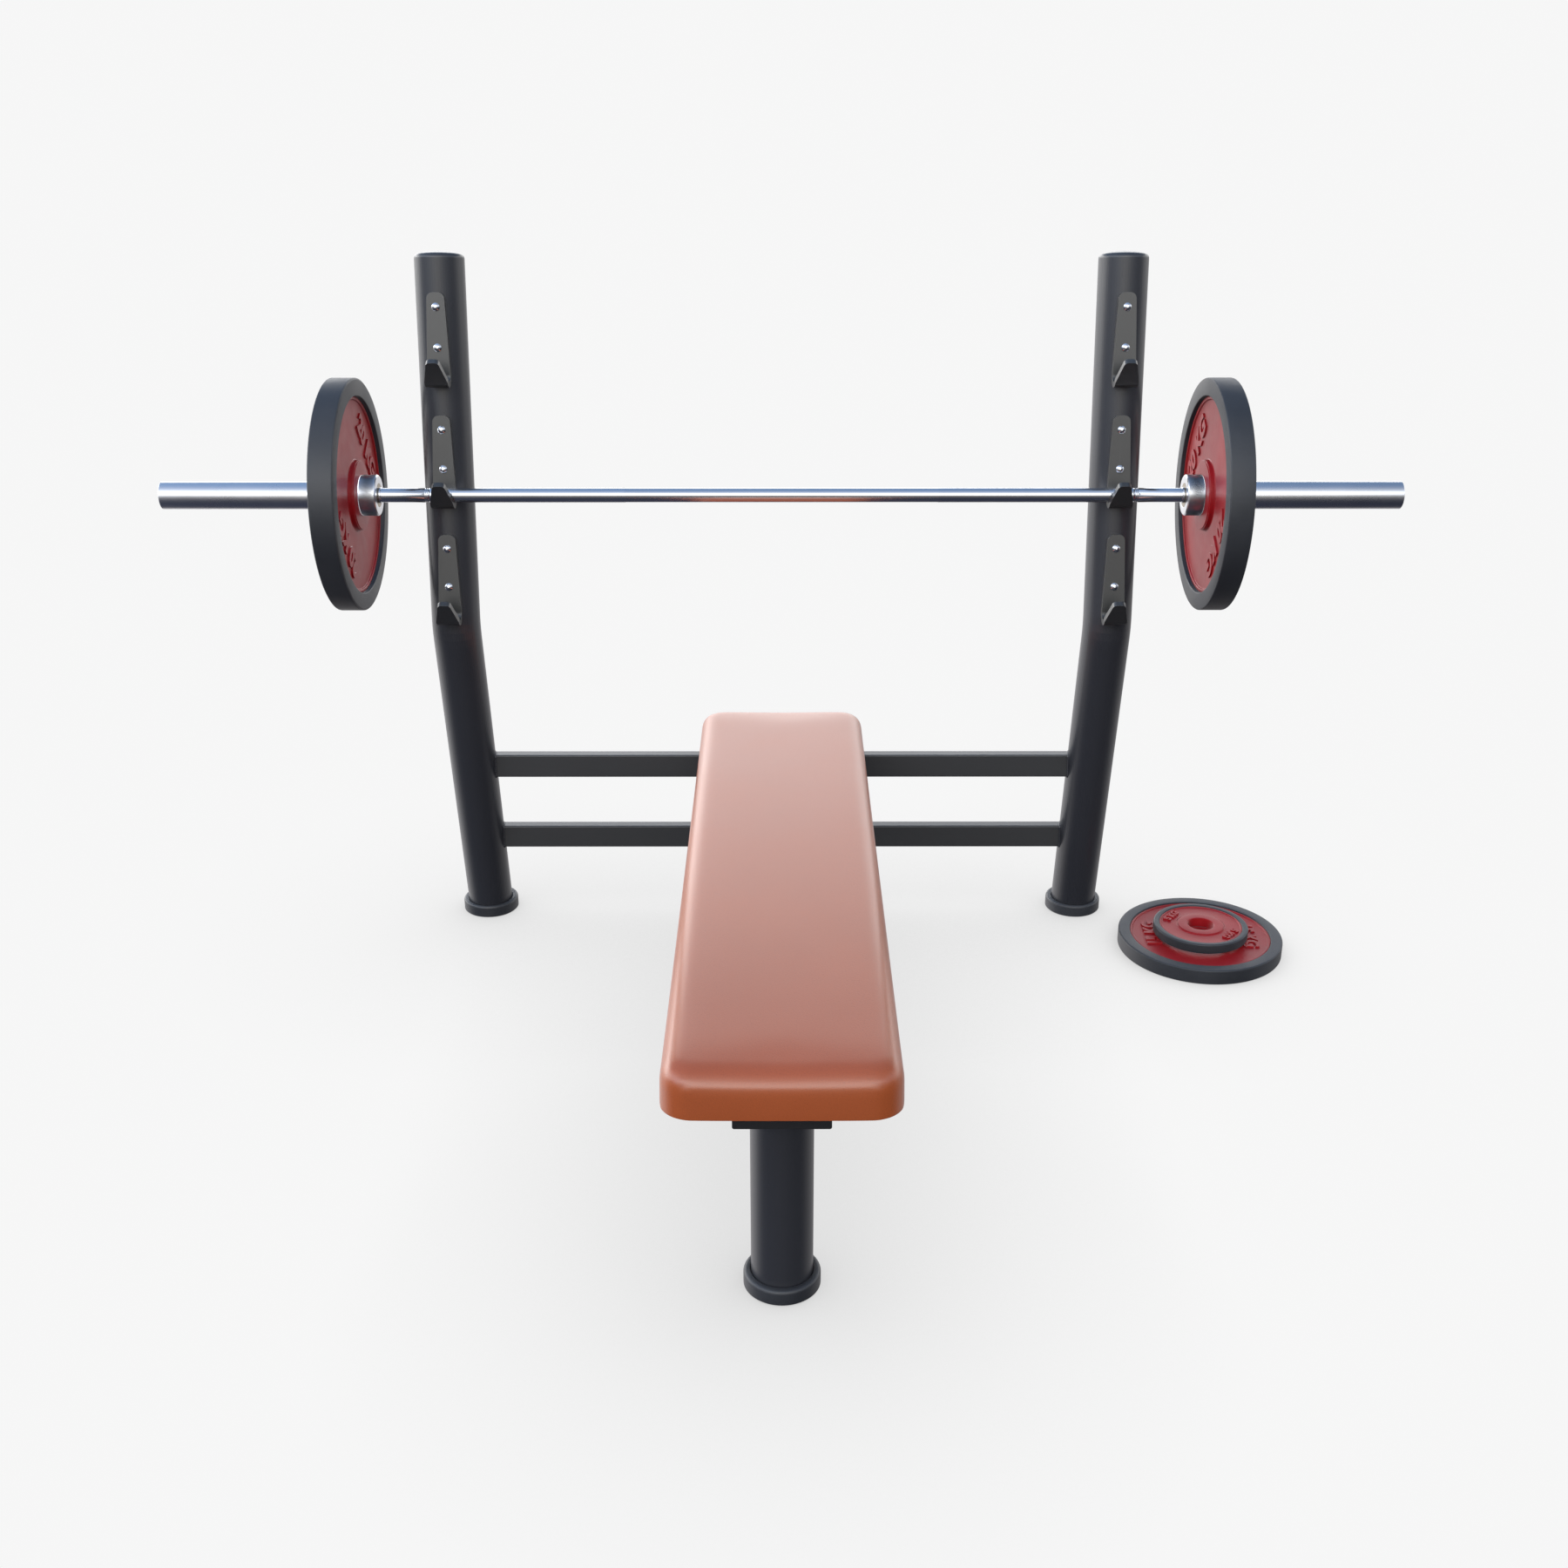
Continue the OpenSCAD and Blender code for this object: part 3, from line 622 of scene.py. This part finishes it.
def makeShaft(settings):
    # the shaft's outline with turned rings and two knurled grips, all in one closed mesh
    lo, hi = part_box("bar_shaft")
    centre = (lo + hi) / 2
    points, side, closed = cutOutline("bar_shaft", centre, alongX)
    points = [tuple(p) for p in roundOutline(points, closed, settings["rounding"])]
    if points[0][0] > points[-1][0]:
        points.reverse()
    radius = settings["radius"]
    added = []
    for way in (-1, 1):
        rows = int((settings["knurlTo"] - settings["knurlFrom"]) / settings["rowStep"])
        for row in range(rows + 1):
            along = settings["knurlFrom"] + row * settings["rowStep"]
            added.append((way * along, radius, 0 < row < rows))
        half, low = settings["ringWidth"] / 2, radius - settings["ringDepth"]
        for place in settings["ringPlaces"]:
            for reach, out in ((half, radius), (half * settings["ringFloor"], low)):
                added += [(way * (place - reach), out, False), (way * (place + reach), out, False)]
    middle = next(i for i, (along, out) in enumerate(points) if along > 0)
    rows = [(a, r, False) for a, r in points[:middle]]
    rows += sorted(added) + [(a, r, False) for a, r in points[middle:]]

    def raised(i, k):
        return settings["knurlDepth"] if rows[i][2] and (i + k) % 2 else 0.0

    outline = [(along, out) for along, out, grip in rows]
    work = spin(outline, closed, centre, alongX, side, settings["columns"], raised)
    mesh = meshFrom(work, "barShaft")
    addPiece("barShaft", mesh, "bar", shaftChrome, ["bar_shaft"], smooth=60.0)


makeShaft(shaftSettings)
for label in ("left", "right"):
    body = label + "_sleeve"
    rounding = sleeveSettings["rounding"]
    turnedPiece(label + "Sleeve", "sleeve_" + label, alongX, body, sleeveChrome,
                rounding, sleeveSettings["segments"])
    turnedPiece(label + "EndCap", "end_cap_" + label, alongX, body, plugPlastic,
                rounding, sleeveSettings["capSegments"])
print("stage: barbell turned")

capSettings = {
    "lip": 0.0085,
    "crown": 0.16,
    "arcSteps": 12,
    "segments": 96,
    "topBand": 1e-5,
    "clear": 0.001,
}


def makeCap(label, settings):
    # a moulded cap with a low crown and a rounded edge, square to the leaning tube
    node = "upright_cap_" + label
    mesh = nodes[node].data
    axis = max(mesh.polygons, key=lambda p: p.normal.z * p.area).normal.copy()
    spots = [v.co for v in mesh.vertices]
    high = max(s.dot(axis) for s in spots)
    rim = [s for s in spots if s.dot(axis) > high - settings["topBand"]]
    most = Vector([max(s[i] for s in rim) for i in range(3)])
    middle = (most + Vector([min(s[i] for s in rim) for i in range(3)])) / 2
    points, side, closed = cutOutline(node, middle, axis)
    if points[0][0] > points[-1][0]:
        points.reverse()
    reach, lip, crown = max(out for along, out in points), settings["lip"], settings["crown"]
    drop = math.sqrt((crown - lip) ** 2 - (reach - lip) ** 2)
    shoulder = drop - crown
    turn = math.atan2(drop, reach - lip)
    kept = [(a, r) for a, r in points[:-1] if a < shoulder - settings["clear"]]
    steps = settings["arcSteps"]
    for k in range(steps + 1):
        angle = turn * k / steps
        kept.append((shoulder + lip * math.sin(angle), reach - lip + lip * math.cos(angle)))
    rest = math.pi / 2 - turn
    for k in range(1, steps):
        angle = turn + rest * k / steps
        kept.append((shoulder - drop + crown * math.sin(angle), crown * math.cos(angle)))
    kept.append((0.0, 0.0))
    work = spin(kept, closed, middle, axis, side, settings["segments"])
    name = label + "UprightCap"
    addPiece(name, meshFrom(work, name), "frame", capPlastic, [node])


for label in ("left", "right"):
    makeCap(label, capSettings)
print("stage: caps moulded")

hookSettings = {"bevel": 0.0011}
footSettings = {"rounding": 0.0008, "segments": 96}

for node in sorted(n for n in nodes if n.startswith(("hook_left", "hook_right"))):
    parts = node.split("_")
    name = parts[1] + parts[2].capitalize() + "Hook"
    mesh = bevelled(node, hookSettings["bevel"])
    addPiece(name, mesh, "frame", hookPaint, [node], smooth=None)
turnedPiece("frontFoot", "foot_front", upZ, "frame", footRubber,
            footSettings["rounding"], footSettings["segments"])
print("stage: hooks softened")

weldSettings = {
    "radius": 0.0024,
    "ripple": 0.12,
    "pitch": 0.0042,
    "corner": 0.004,
    "cornerSteps": 5,
    "follow": 0.004,
    "legPoints": 120,
    "perRipple": 6.0,
    "sides": 8,
}


def makeBeadTree(settings):
    # a rippled bead of weld along a closed line
    tree = bpy.data.node_groups.new("weldBead", "GeometryNodeTree")
    face = tree.interface
    face.new_socket("Geometry", in_out="INPUT", socket_type="NodeSocketGeometry")
    for label in ("Radius", "Ripple", "Pitch"):
        face.new_socket(label, in_out="INPUT", socket_type="NodeSocketFloat")
    face.new_socket("Material", in_out="INPUT", socket_type="NodeSocketMaterial")
    face.new_socket("Geometry", in_out="OUTPUT", socket_type="NodeSocketGeometry")
    given, out = tree.nodes.new("NodeGroupInput"), tree.nodes.new("NodeGroupOutput")
    step = maths(tree, "DIVIDE", given.outputs["Pitch"], settings["perRipple"])
    line = put(tree, "GeometryNodeResampleCurve", {
        "Curve": given.outputs["Geometry"], "Length": step}, mode="LENGTH")
    length = tree.nodes.new("GeometryNodeSplineParameter").outputs["Length"]
    phase = maths(tree, "MULTIPLY", maths(tree, "DIVIDE", length, given.outputs["Pitch"]), 2 * math.pi)
    wave = maths(tree, "MULTIPLY", maths(tree, "SINE", phase), given.outputs["Ripple"])
    scale = maths(tree, "ADD", wave, 1.0)
    sized = put(tree, "GeometryNodeSetCurveRadius", {"Curve": line.outputs[0], "Radius": scale})
    ring = put(tree, "GeometryNodeCurvePrimitiveCircle", {
        "Resolution": settings["sides"], "Radius": given.outputs["Radius"]})
    tube = put(tree, "GeometryNodeCurveToMesh", {"Curve": sized.outputs[0], "Profile Curve": ring.outputs[0]})
    if "Scale" in tube.inputs:
        tree.links.new(scale, tube.inputs["Scale"])
    real = put(tree, "GeometryNodeRealizeInstances", {"Geometry": tube.outputs[0]})
    done = put(tree, "GeometryNodeSetMaterial", {
        "Geometry": real.outputs[0], "Material": given.outputs["Material"]})
    tree.links.new(done.outputs[0], out.inputs[0])
    return tree


def runTree(tree, holder, values):
    modifier = holder.modifiers.new("nodes", "NODES")
    modifier.node_group = tree
    for item in tree.interface.items_tree:
        if item.in_out == "INPUT" and item.name in values:
            modifier[item.identifier] = values[item.name]
    graph = bpy.context.evaluated_depsgraph_get()
    mesh = bpy.data.meshes.new_from_object(holder.evaluated_get(graph), depsgraph=graph)
    bpy.data.objects.remove(holder)
    return mesh


def boxLoop(w0, w1, h0, h1, settings):
    # points round a rounded rectangle, close enough together for a curved surface to be followed
    corner, steps = settings["corner"], settings["cornerSteps"]
    spots = []
    for cw, ch, first in ((w1 - corner, h1 - corner, 0), (w0 + corner, h1 - corner, 1),
                          (w0 + corner, h0 + corner, 2), (w1 - corner, h0 + corner, 3)):
        for k in range(steps + 1):
            turn = math.pi / 2 * (first + k / steps)
            spots.append(Vector((cw + corner * math.cos(turn), ch + corner * math.sin(turn))))
    made = []
    for i, spot in enumerate(spots):
        onward = spots[(i + 1) % len(spots)]
        parts = max(1, round((onward - spot).length / settings["follow"]))
        made += [spot.lerp(onward, k / parts) for k in range(parts)]
    return made


def makeWelds(settings):
    loops = []
    for bar in ("crossbar_upper", "crossbar_lower"):
        lo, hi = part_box(bar)
        outline = boxLoop(lo.y, hi.y, lo.z, hi.z, settings)
        for way, post in ((-1, "upright_left"), (1, "upright_right")):
            tree = treeOf(post)
            hits = [tree.ray_cast(Vector((0, p.x, p.y)), Vector((way, 0, 0)))[0] for p in outline]
            loops.append([h for h in hits if h is not None])
    lo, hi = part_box("spine_tube")
    outline = boxLoop(lo.x, hi.x, lo.z, hi.z, settings)
    loops.append([Vector((p.x, hi.y, p.y)) for p in outline])
    lo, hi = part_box("front_leg")
    centre, radius = (lo + hi) / 2, (hi.x - lo.x) / 2
    turns = [2 * math.pi * k / settings["legPoints"] for k in range(settings["legPoints"])]
    loops.append([Vector((centre.x + radius * math.cos(t), centre.y + radius * math.sin(t), hi.z))
                  for t in turns])
    curve = bpy.data.curves.new("weldLines", "CURVE")
    curve.dimensions = "3D"
    for loop in loops:
        spline = curve.splines.new("POLY")
        spline.points.add(len(loop) - 1)
        spline.use_cyclic_u = True
        for point, place in zip(spline.points, loop):
            point.co = (*place, 1)
    holder = heldObject("weldLines", curve)
    mesh = runTree(makeBeadTree(settings), holder, {
        "Radius": settings["radius"], "Ripple": settings["ripple"], "Pitch": settings["pitch"],
        "Material": framePaint})
    addPiece("weldBeads", mesh, "frame", framePaint, smooth=60.0)


makeWelds(weldSettings)
print("stage: welds laid")

padSettings = {
    "corner": 0.042,
    "edge": 0.027,
    "skirt": 0.01,
    "smaller": 0.0015,
    "voxel": 0.006,
    "pressure": 4.0,
    "frames": 20,
    "mostMove": 0.002,
    "spread": 30,
    "pinned": 0.014,
    "fill": 0.95,
    "hemHeight": 0.02,
    "arcSteps": 8,
    "leastCorner": 0.004,
}

clothSettings = {
    "quality": 5,
    "mass": 0.4,
    "tension_stiffness": 40,
    "compression_stiffness": 40,
    "shear_stiffness": 20,
    "bending_stiffness": 5,
    "use_pressure": True,
}


def padShell(settings):
    # the pad's plain closed shape: a rounded outline carried up and turned in over the top edge
    lo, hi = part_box("pad_cover")
    less = settings["smaller"]
    halfW, halfL = (hi.x - lo.x) / 2 - less, (hi.y - lo.y) / 2 - less
    middle = (lo + hi) / 2
    top = hi.z - less
    edge = settings["edge"]
    steps = settings["arcSteps"]
    layers = [(lo.z - settings["skirt"], 0.0), (lo.z + settings["hemHeight"], 0.0)]
    for k in range(steps + 1):
        turn = math.pi / 2 * k / steps
        layers.append((top - edge + edge * math.sin(turn), edge * (1 - math.cos(turn))))
    work = bmesh.new()
    rings = []
    for z, inset in layers:
        corner = max(settings["leastCorner"], settings["corner"] - inset)
        w, l = halfW - inset, halfL - inset
        ring = []
        for cx, cy, first in ((w, l, 0), (-w, l, 1), (-w, -l, 2), (w, -l, 3)):
            for k in range(steps + 1):
                turn = math.pi / 2 * (first + k / steps)
                ring.append(work.verts.new((
                    middle.x + cx - math.copysign(corner, cx) + corner * math.cos(turn),
                    middle.y + cy - math.copysign(corner, cy) + corner * math.sin(turn), z)))
        rings.append(ring)
    for a, b in zip(rings, rings[1:]):
        for k in range(len(a)):
            n = (k + 1) % len(a)
            work.faces.new((a[k], a[n], b[n], b[k]))
    work.faces.new(list(reversed(rings[0])))
    work.faces.new(rings[-1])
    return meshFrom(work, "padShell")


def inflate(holder, settings):
    # presses the cover outwards as tight foam does, with the hem held, and caps how far it moves
    rest = [v.co.copy() for v in holder.data.vertices]
    hem = min(co.z for co in rest) + settings["pinned"]
    group = holder.vertex_groups.new(name="hem")
    group.add([i for i, co in enumerate(rest) if co.z < hem], 1.0, "REPLACE")
    cloth = holder.modifiers.new("cloth", "CLOTH")
    cloth.settings.vertex_group_mass = "hem"
    for name, value in clothSettings.items():
        setattr(cloth.settings, name, value)
    cloth.settings.uniform_pressure_force = settings["pressure"]
    cloth.settings.effector_weights.gravity = 0
    cloth.collision_settings.use_collision = False
    cloth.point_cache.frame_start = 1
    cloth.point_cache.frame_end = settings["frames"]
    for f in range(1, settings["frames"] + 1):
        scene.frame_set(f)
    graph = bpy.context.evaluated_depsgraph_get()
    moved = bpy.data.meshes.new_from_object(holder.evaluated_get(graph), depsgraph=graph)
    before = numpy.array(rest)
    steps = numpy.array([v.co for v in moved.vertices]) - before
    far = numpy.linalg.norm(steps, axis=1, keepdims=True)
    steps *= numpy.minimum(1.0, settings["mostMove"] / numpy.maximum(far, 1e-9))
    pairs = numpy.array([e.vertices[:] for e in moved.edges])
    shares = numpy.bincount(pairs.ravel(), minlength=len(rest))[:, None]
    for i in range(settings["spread"]):
        total = numpy.zeros_like(steps)
        numpy.add.at(total, pairs[:, 0], steps[pairs[:, 1]])
        numpy.add.at(total, pairs[:, 1], steps[pairs[:, 0]])
        steps = total / shares
    for vertex, place in zip(moved.vertices, before + steps):
        vertex.co = place
    scene.frame_set(1)
    return moved


def fitted(mesh, lo, hi):
    # draws the finished cover out to the CAD cover's box, with its hem left at its height
    for i in (0, 1, 2):
        spots = [v.co[i] for v in mesh.vertices]
        low, high = min(spots), max(spots)
        if i == 2:
            low = lo.z
        grow = (hi[i] - lo[i]) / (high - low)
        for vertex in mesh.vertices:
            if i < 2 or vertex.co.z > lo.z:
                vertex.co[i] = lo[i] + (vertex.co[i] - low) * grow


def trimmed(mesh, level):
    # cuts the skirt off level with the cover's hem and closes the underside
    work = bmesh.new()
    work.from_mesh(mesh)
    bmesh.ops.bisect_plane(
        work, geom=work.verts[:] + work.edges[:] + work.faces[:], dist=tiny, plane_co=(0, 0, level),
        plane_no=(0, 0, 1), clear_inner=True)
    hem = [e for e in work.edges if e.is_boundary]
    bmesh.ops.triangle_fill(work, use_beauty=True, edges=hem)
    bmesh.ops.recalc_face_normals(work, faces=work.faces)
    return meshFrom(work, "padCover")


def makePad(settings):
    smoothing = ("SMOOTH", {"factor": 0.5, "iterations": 2})
    holder = heldObject("padHolder", padShell(settings))
    mesh = evaluated(holder, [("REMESH", {"mode": "VOXEL", "voxel_size": settings["voxel"]}), smoothing])
    bpy.data.objects.remove(holder)
    holder = heldObject("padHolder", mesh)
    mesh = inflate(holder, settings)
    bpy.data.objects.remove(holder)
    holder = heldObject("padHolder", mesh)
    mesh = evaluated(holder, [smoothing, ("SUBSURF", {"levels": 1, "render_levels": 1})])
    bpy.data.objects.remove(holder)
    lo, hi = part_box("pad_cover")
    fitted(mesh, lo, hi)
    cover = addPiece("padCover", trimmed(mesh, lo.z), "frame", padVinyl,
                     ["pad_cover", "pad_foam"], smooth=50.0)


makePad(padSettings)
print("stage: pad covered")

finishes = {
    framePaint: ["upright_left", "upright_right", "front_leg", "spine_tube"],
    paintedLightBarPaint: ["crossbar_upper", "crossbar_lower"],
    plugPlastic: ["spine_end_plug"],
    footRubber: ["foot_rear_left", "foot_rear_right"],
    screwChrome: ["hook_screws_left", "hook_screws_right"],
    plainSteel: ["hook_bosses_left", "hook_bosses_right", "pad_bolts", "pad_washers", "pad_tee_nuts",
                 "shaft_ring_left", "shaft_ring_right"],
    bushBronze: ["inner_bush_left", "inner_bush_right", "outer_bush_left", "outer_bush_right"],
    padBoard: ["pad_board"],
    padFoam: ["pad_foam"],
}
for material, names in finishes.items():
    for name in names:
        nodes[name].data.materials.clear()
        nodes[name].data.materials.append(material)
print("stage: finishes laid")

studioSettings = {
    "backdrop": (0.925, 0.925, 0.925),
    "floorShade": 0.5,
    "shadeReach": 0.62,
    "floorRadius": 9.0,
    "leftShare": 1.2,
    "rightShare": 0.5,
    "strength": 1.0,
    "turnsBack": (-0.3, 0.4),
    "sideReach": 0.7,
    "shadeSamples": 12,
    "floorDrop": 0.0004,
    "floorSides": 96,
}

# light by elevation in degrees, from the camera's side and from behind the bench
frontSky = [
    (-90, (0.045, 0.05, 0.08)), (-35, (0.055, 0.06, 0.08)), (-20, (0.13, 0.125, 0.145)),
    (-5, (0.27, 0.26, 0.25)), (4, (0.6, 0.58, 0.55)), (12, (1.3, 1.27, 1.22)), (18, (3.2, 3.17, 3.08)),
    (28, (4.1, 4.1, 4.05)),
    (38, (2.1, 2.15, 2.2)), (46, (1.1, 1.18, 1.28)), (63, (0.56, 0.67, 0.9)), (80, (0.32, 0.45, 0.7)),
    (90, (0.25, 0.39, 0.66))]
backSky = [
    (-90, (0.05, 0.055, 0.08)), (-60, (0.08, 0.08, 0.1)), (-42, (0.66, 0.64, 0.65)), (-10, (1.1, 1.09, 1.1)),
    (-3, (1.3, 1.3, 1.3)), (6, (3.2, 3.2, 3.2)), (18, (4.2, 4.2, 4.2)), (25, (1.1, 1.16, 1.25)),
    (32, (0.26, 0.38, 0.58)), (52, (0.23, 0.37, 0.62)), (90, (0.26, 0.4, 0.66))]
sideFalloff = [(0.12, (1, 1, 1)), (0.55, (0.6, 0.64, 0.72)), (0.92, (0.38, 0.43, 0.53))]


def skyRamp(tree, height, sky):
    # stops by elevation, read from the height of the direction, kept within 0 to 1 and scaled back up
    most = max(max(colour) for degrees, colour in sky)
    stops = [((math.sin(math.radians(degrees)) + 1) / 2, tuple(c / most for c in colour))
             for degrees, colour in sky]
    colour = rampOf(tree, height, stops)
    return put(tree, "ShaderNodeVectorMath", {0: colour, "Scale": most}, operation="SCALE").outputs[0]


def makeStudio(settings):
    world = bpy.data.worlds.new("studio")
    scene.world = world
    world.use_nodes = True
    tree = world.node_tree
    tree.nodes.clear()
    way = put(tree, "ShaderNodeSeparateXYZ", {0: tree.nodes.new("ShaderNodeTexCoord").outputs["Generated"]})
    height = maths(tree, "MULTIPLY_ADD", way.outputs["Z"], 0.5)
    height.node.inputs[2].default_value = 0.5
    towardsBack = ranged(tree, way.outputs["Y"], *settings["turnsBack"], interpolation_type="SMOOTHSTEP")
    blend = put(tree, "ShaderNodeMix", {0: towardsBack}, data_type="VECTOR")
    across = maths(tree, "ABSOLUTE", way.outputs["X"])
    falloff = rampOf(tree, across, sideFalloff)
    front = mixColour(tree, 1.0, skyRamp(tree, height, frontSky), falloff, "MULTIPLY")
    tree.links.new(front, blend.inputs[4])
    tree.links.new(skyRamp(tree, height, backSky), blend.inputs[5])
    sideways = ranged(tree, way.outputs["X"], -settings["sideReach"], settings["sideReach"],
                      settings["leftShare"], settings["rightShare"])
    shared = put(tree, "ShaderNodeVectorMath", {0: blend.outputs[1], "Scale": sideways}, operation="SCALE")
    straight = tree.nodes.new("ShaderNodeLightPath").outputs["Is Camera Ray"]
    seen = put(tree, "ShaderNodeMix", {0: straight}, data_type="VECTOR")
    tree.links.new(shared.outputs[0], seen.inputs[4])
    seen.inputs[5].default_value = settings["backdrop"]
    sky = put(tree, "ShaderNodeBackground", {"Color": seen.outputs[1], "Strength": settings["strength"]})
    done = tree.nodes.new("ShaderNodeOutputWorld")
    tree.links.new(sky.outputs[0], done.inputs["Surface"])


def makeFloor(settings):
    # a pale floor with a painted shadow only close to what stands on it, drawn from ambient occlusion, and
    # clear from below
    material = bpy.data.materials.new("floorPale")
    material.use_nodes = True
    tree = material.node_tree
    tree.nodes.clear()
    # ambient occlusion darkens the floor's glow near things: painted shadow
    nearby = put(tree, "ShaderNodeAmbientOcclusion", {"Distance": settings["shadeReach"]},
                 samples=settings["shadeSamples"])
    paintedShadowFactor = ranged(tree, nearby.outputs["AO"], first=1.0 - settings["floorShade"])
    bright = maths(tree, "MULTIPLY", paintedShadowFactor, settings["backdrop"][0])
    pale = put(tree, "ShaderNodeEmission", {"Color": (1, 1, 1, 1), "Strength": bright})
    below = tree.nodes.new("ShaderNodeNewGeometry").outputs["Backfacing"]
    clear = tree.nodes.new("ShaderNodeBsdfTransparent")
    mixed = put(tree, "ShaderNodeMixShader", {0: below, 1: pale.outputs[0], 2: clear.outputs[0]})
    done = tree.nodes.new("ShaderNodeOutputMaterial")
    tree.links.new(mixed.outputs[0], done.inputs["Surface"])

    work = bmesh.new()
    bmesh.ops.create_circle(
        work, cap_ends=True, radius=settings["floorRadius"], segments=settings["floorSides"])
    floor = bpy.data.objects.new("floor", meshFrom(work, "floor"))
    floor.location.z = -settings["floorDrop"]
    floor.data.materials.append(material)
    floor.visible_diffuse = False
    floor.visible_glossy = False
    floor.visible_shadow = False
    scene.collection.objects.link(floor)


makeStudio(studioSettings)
makeFloor(studioSettings)
print("stage: studio lit")
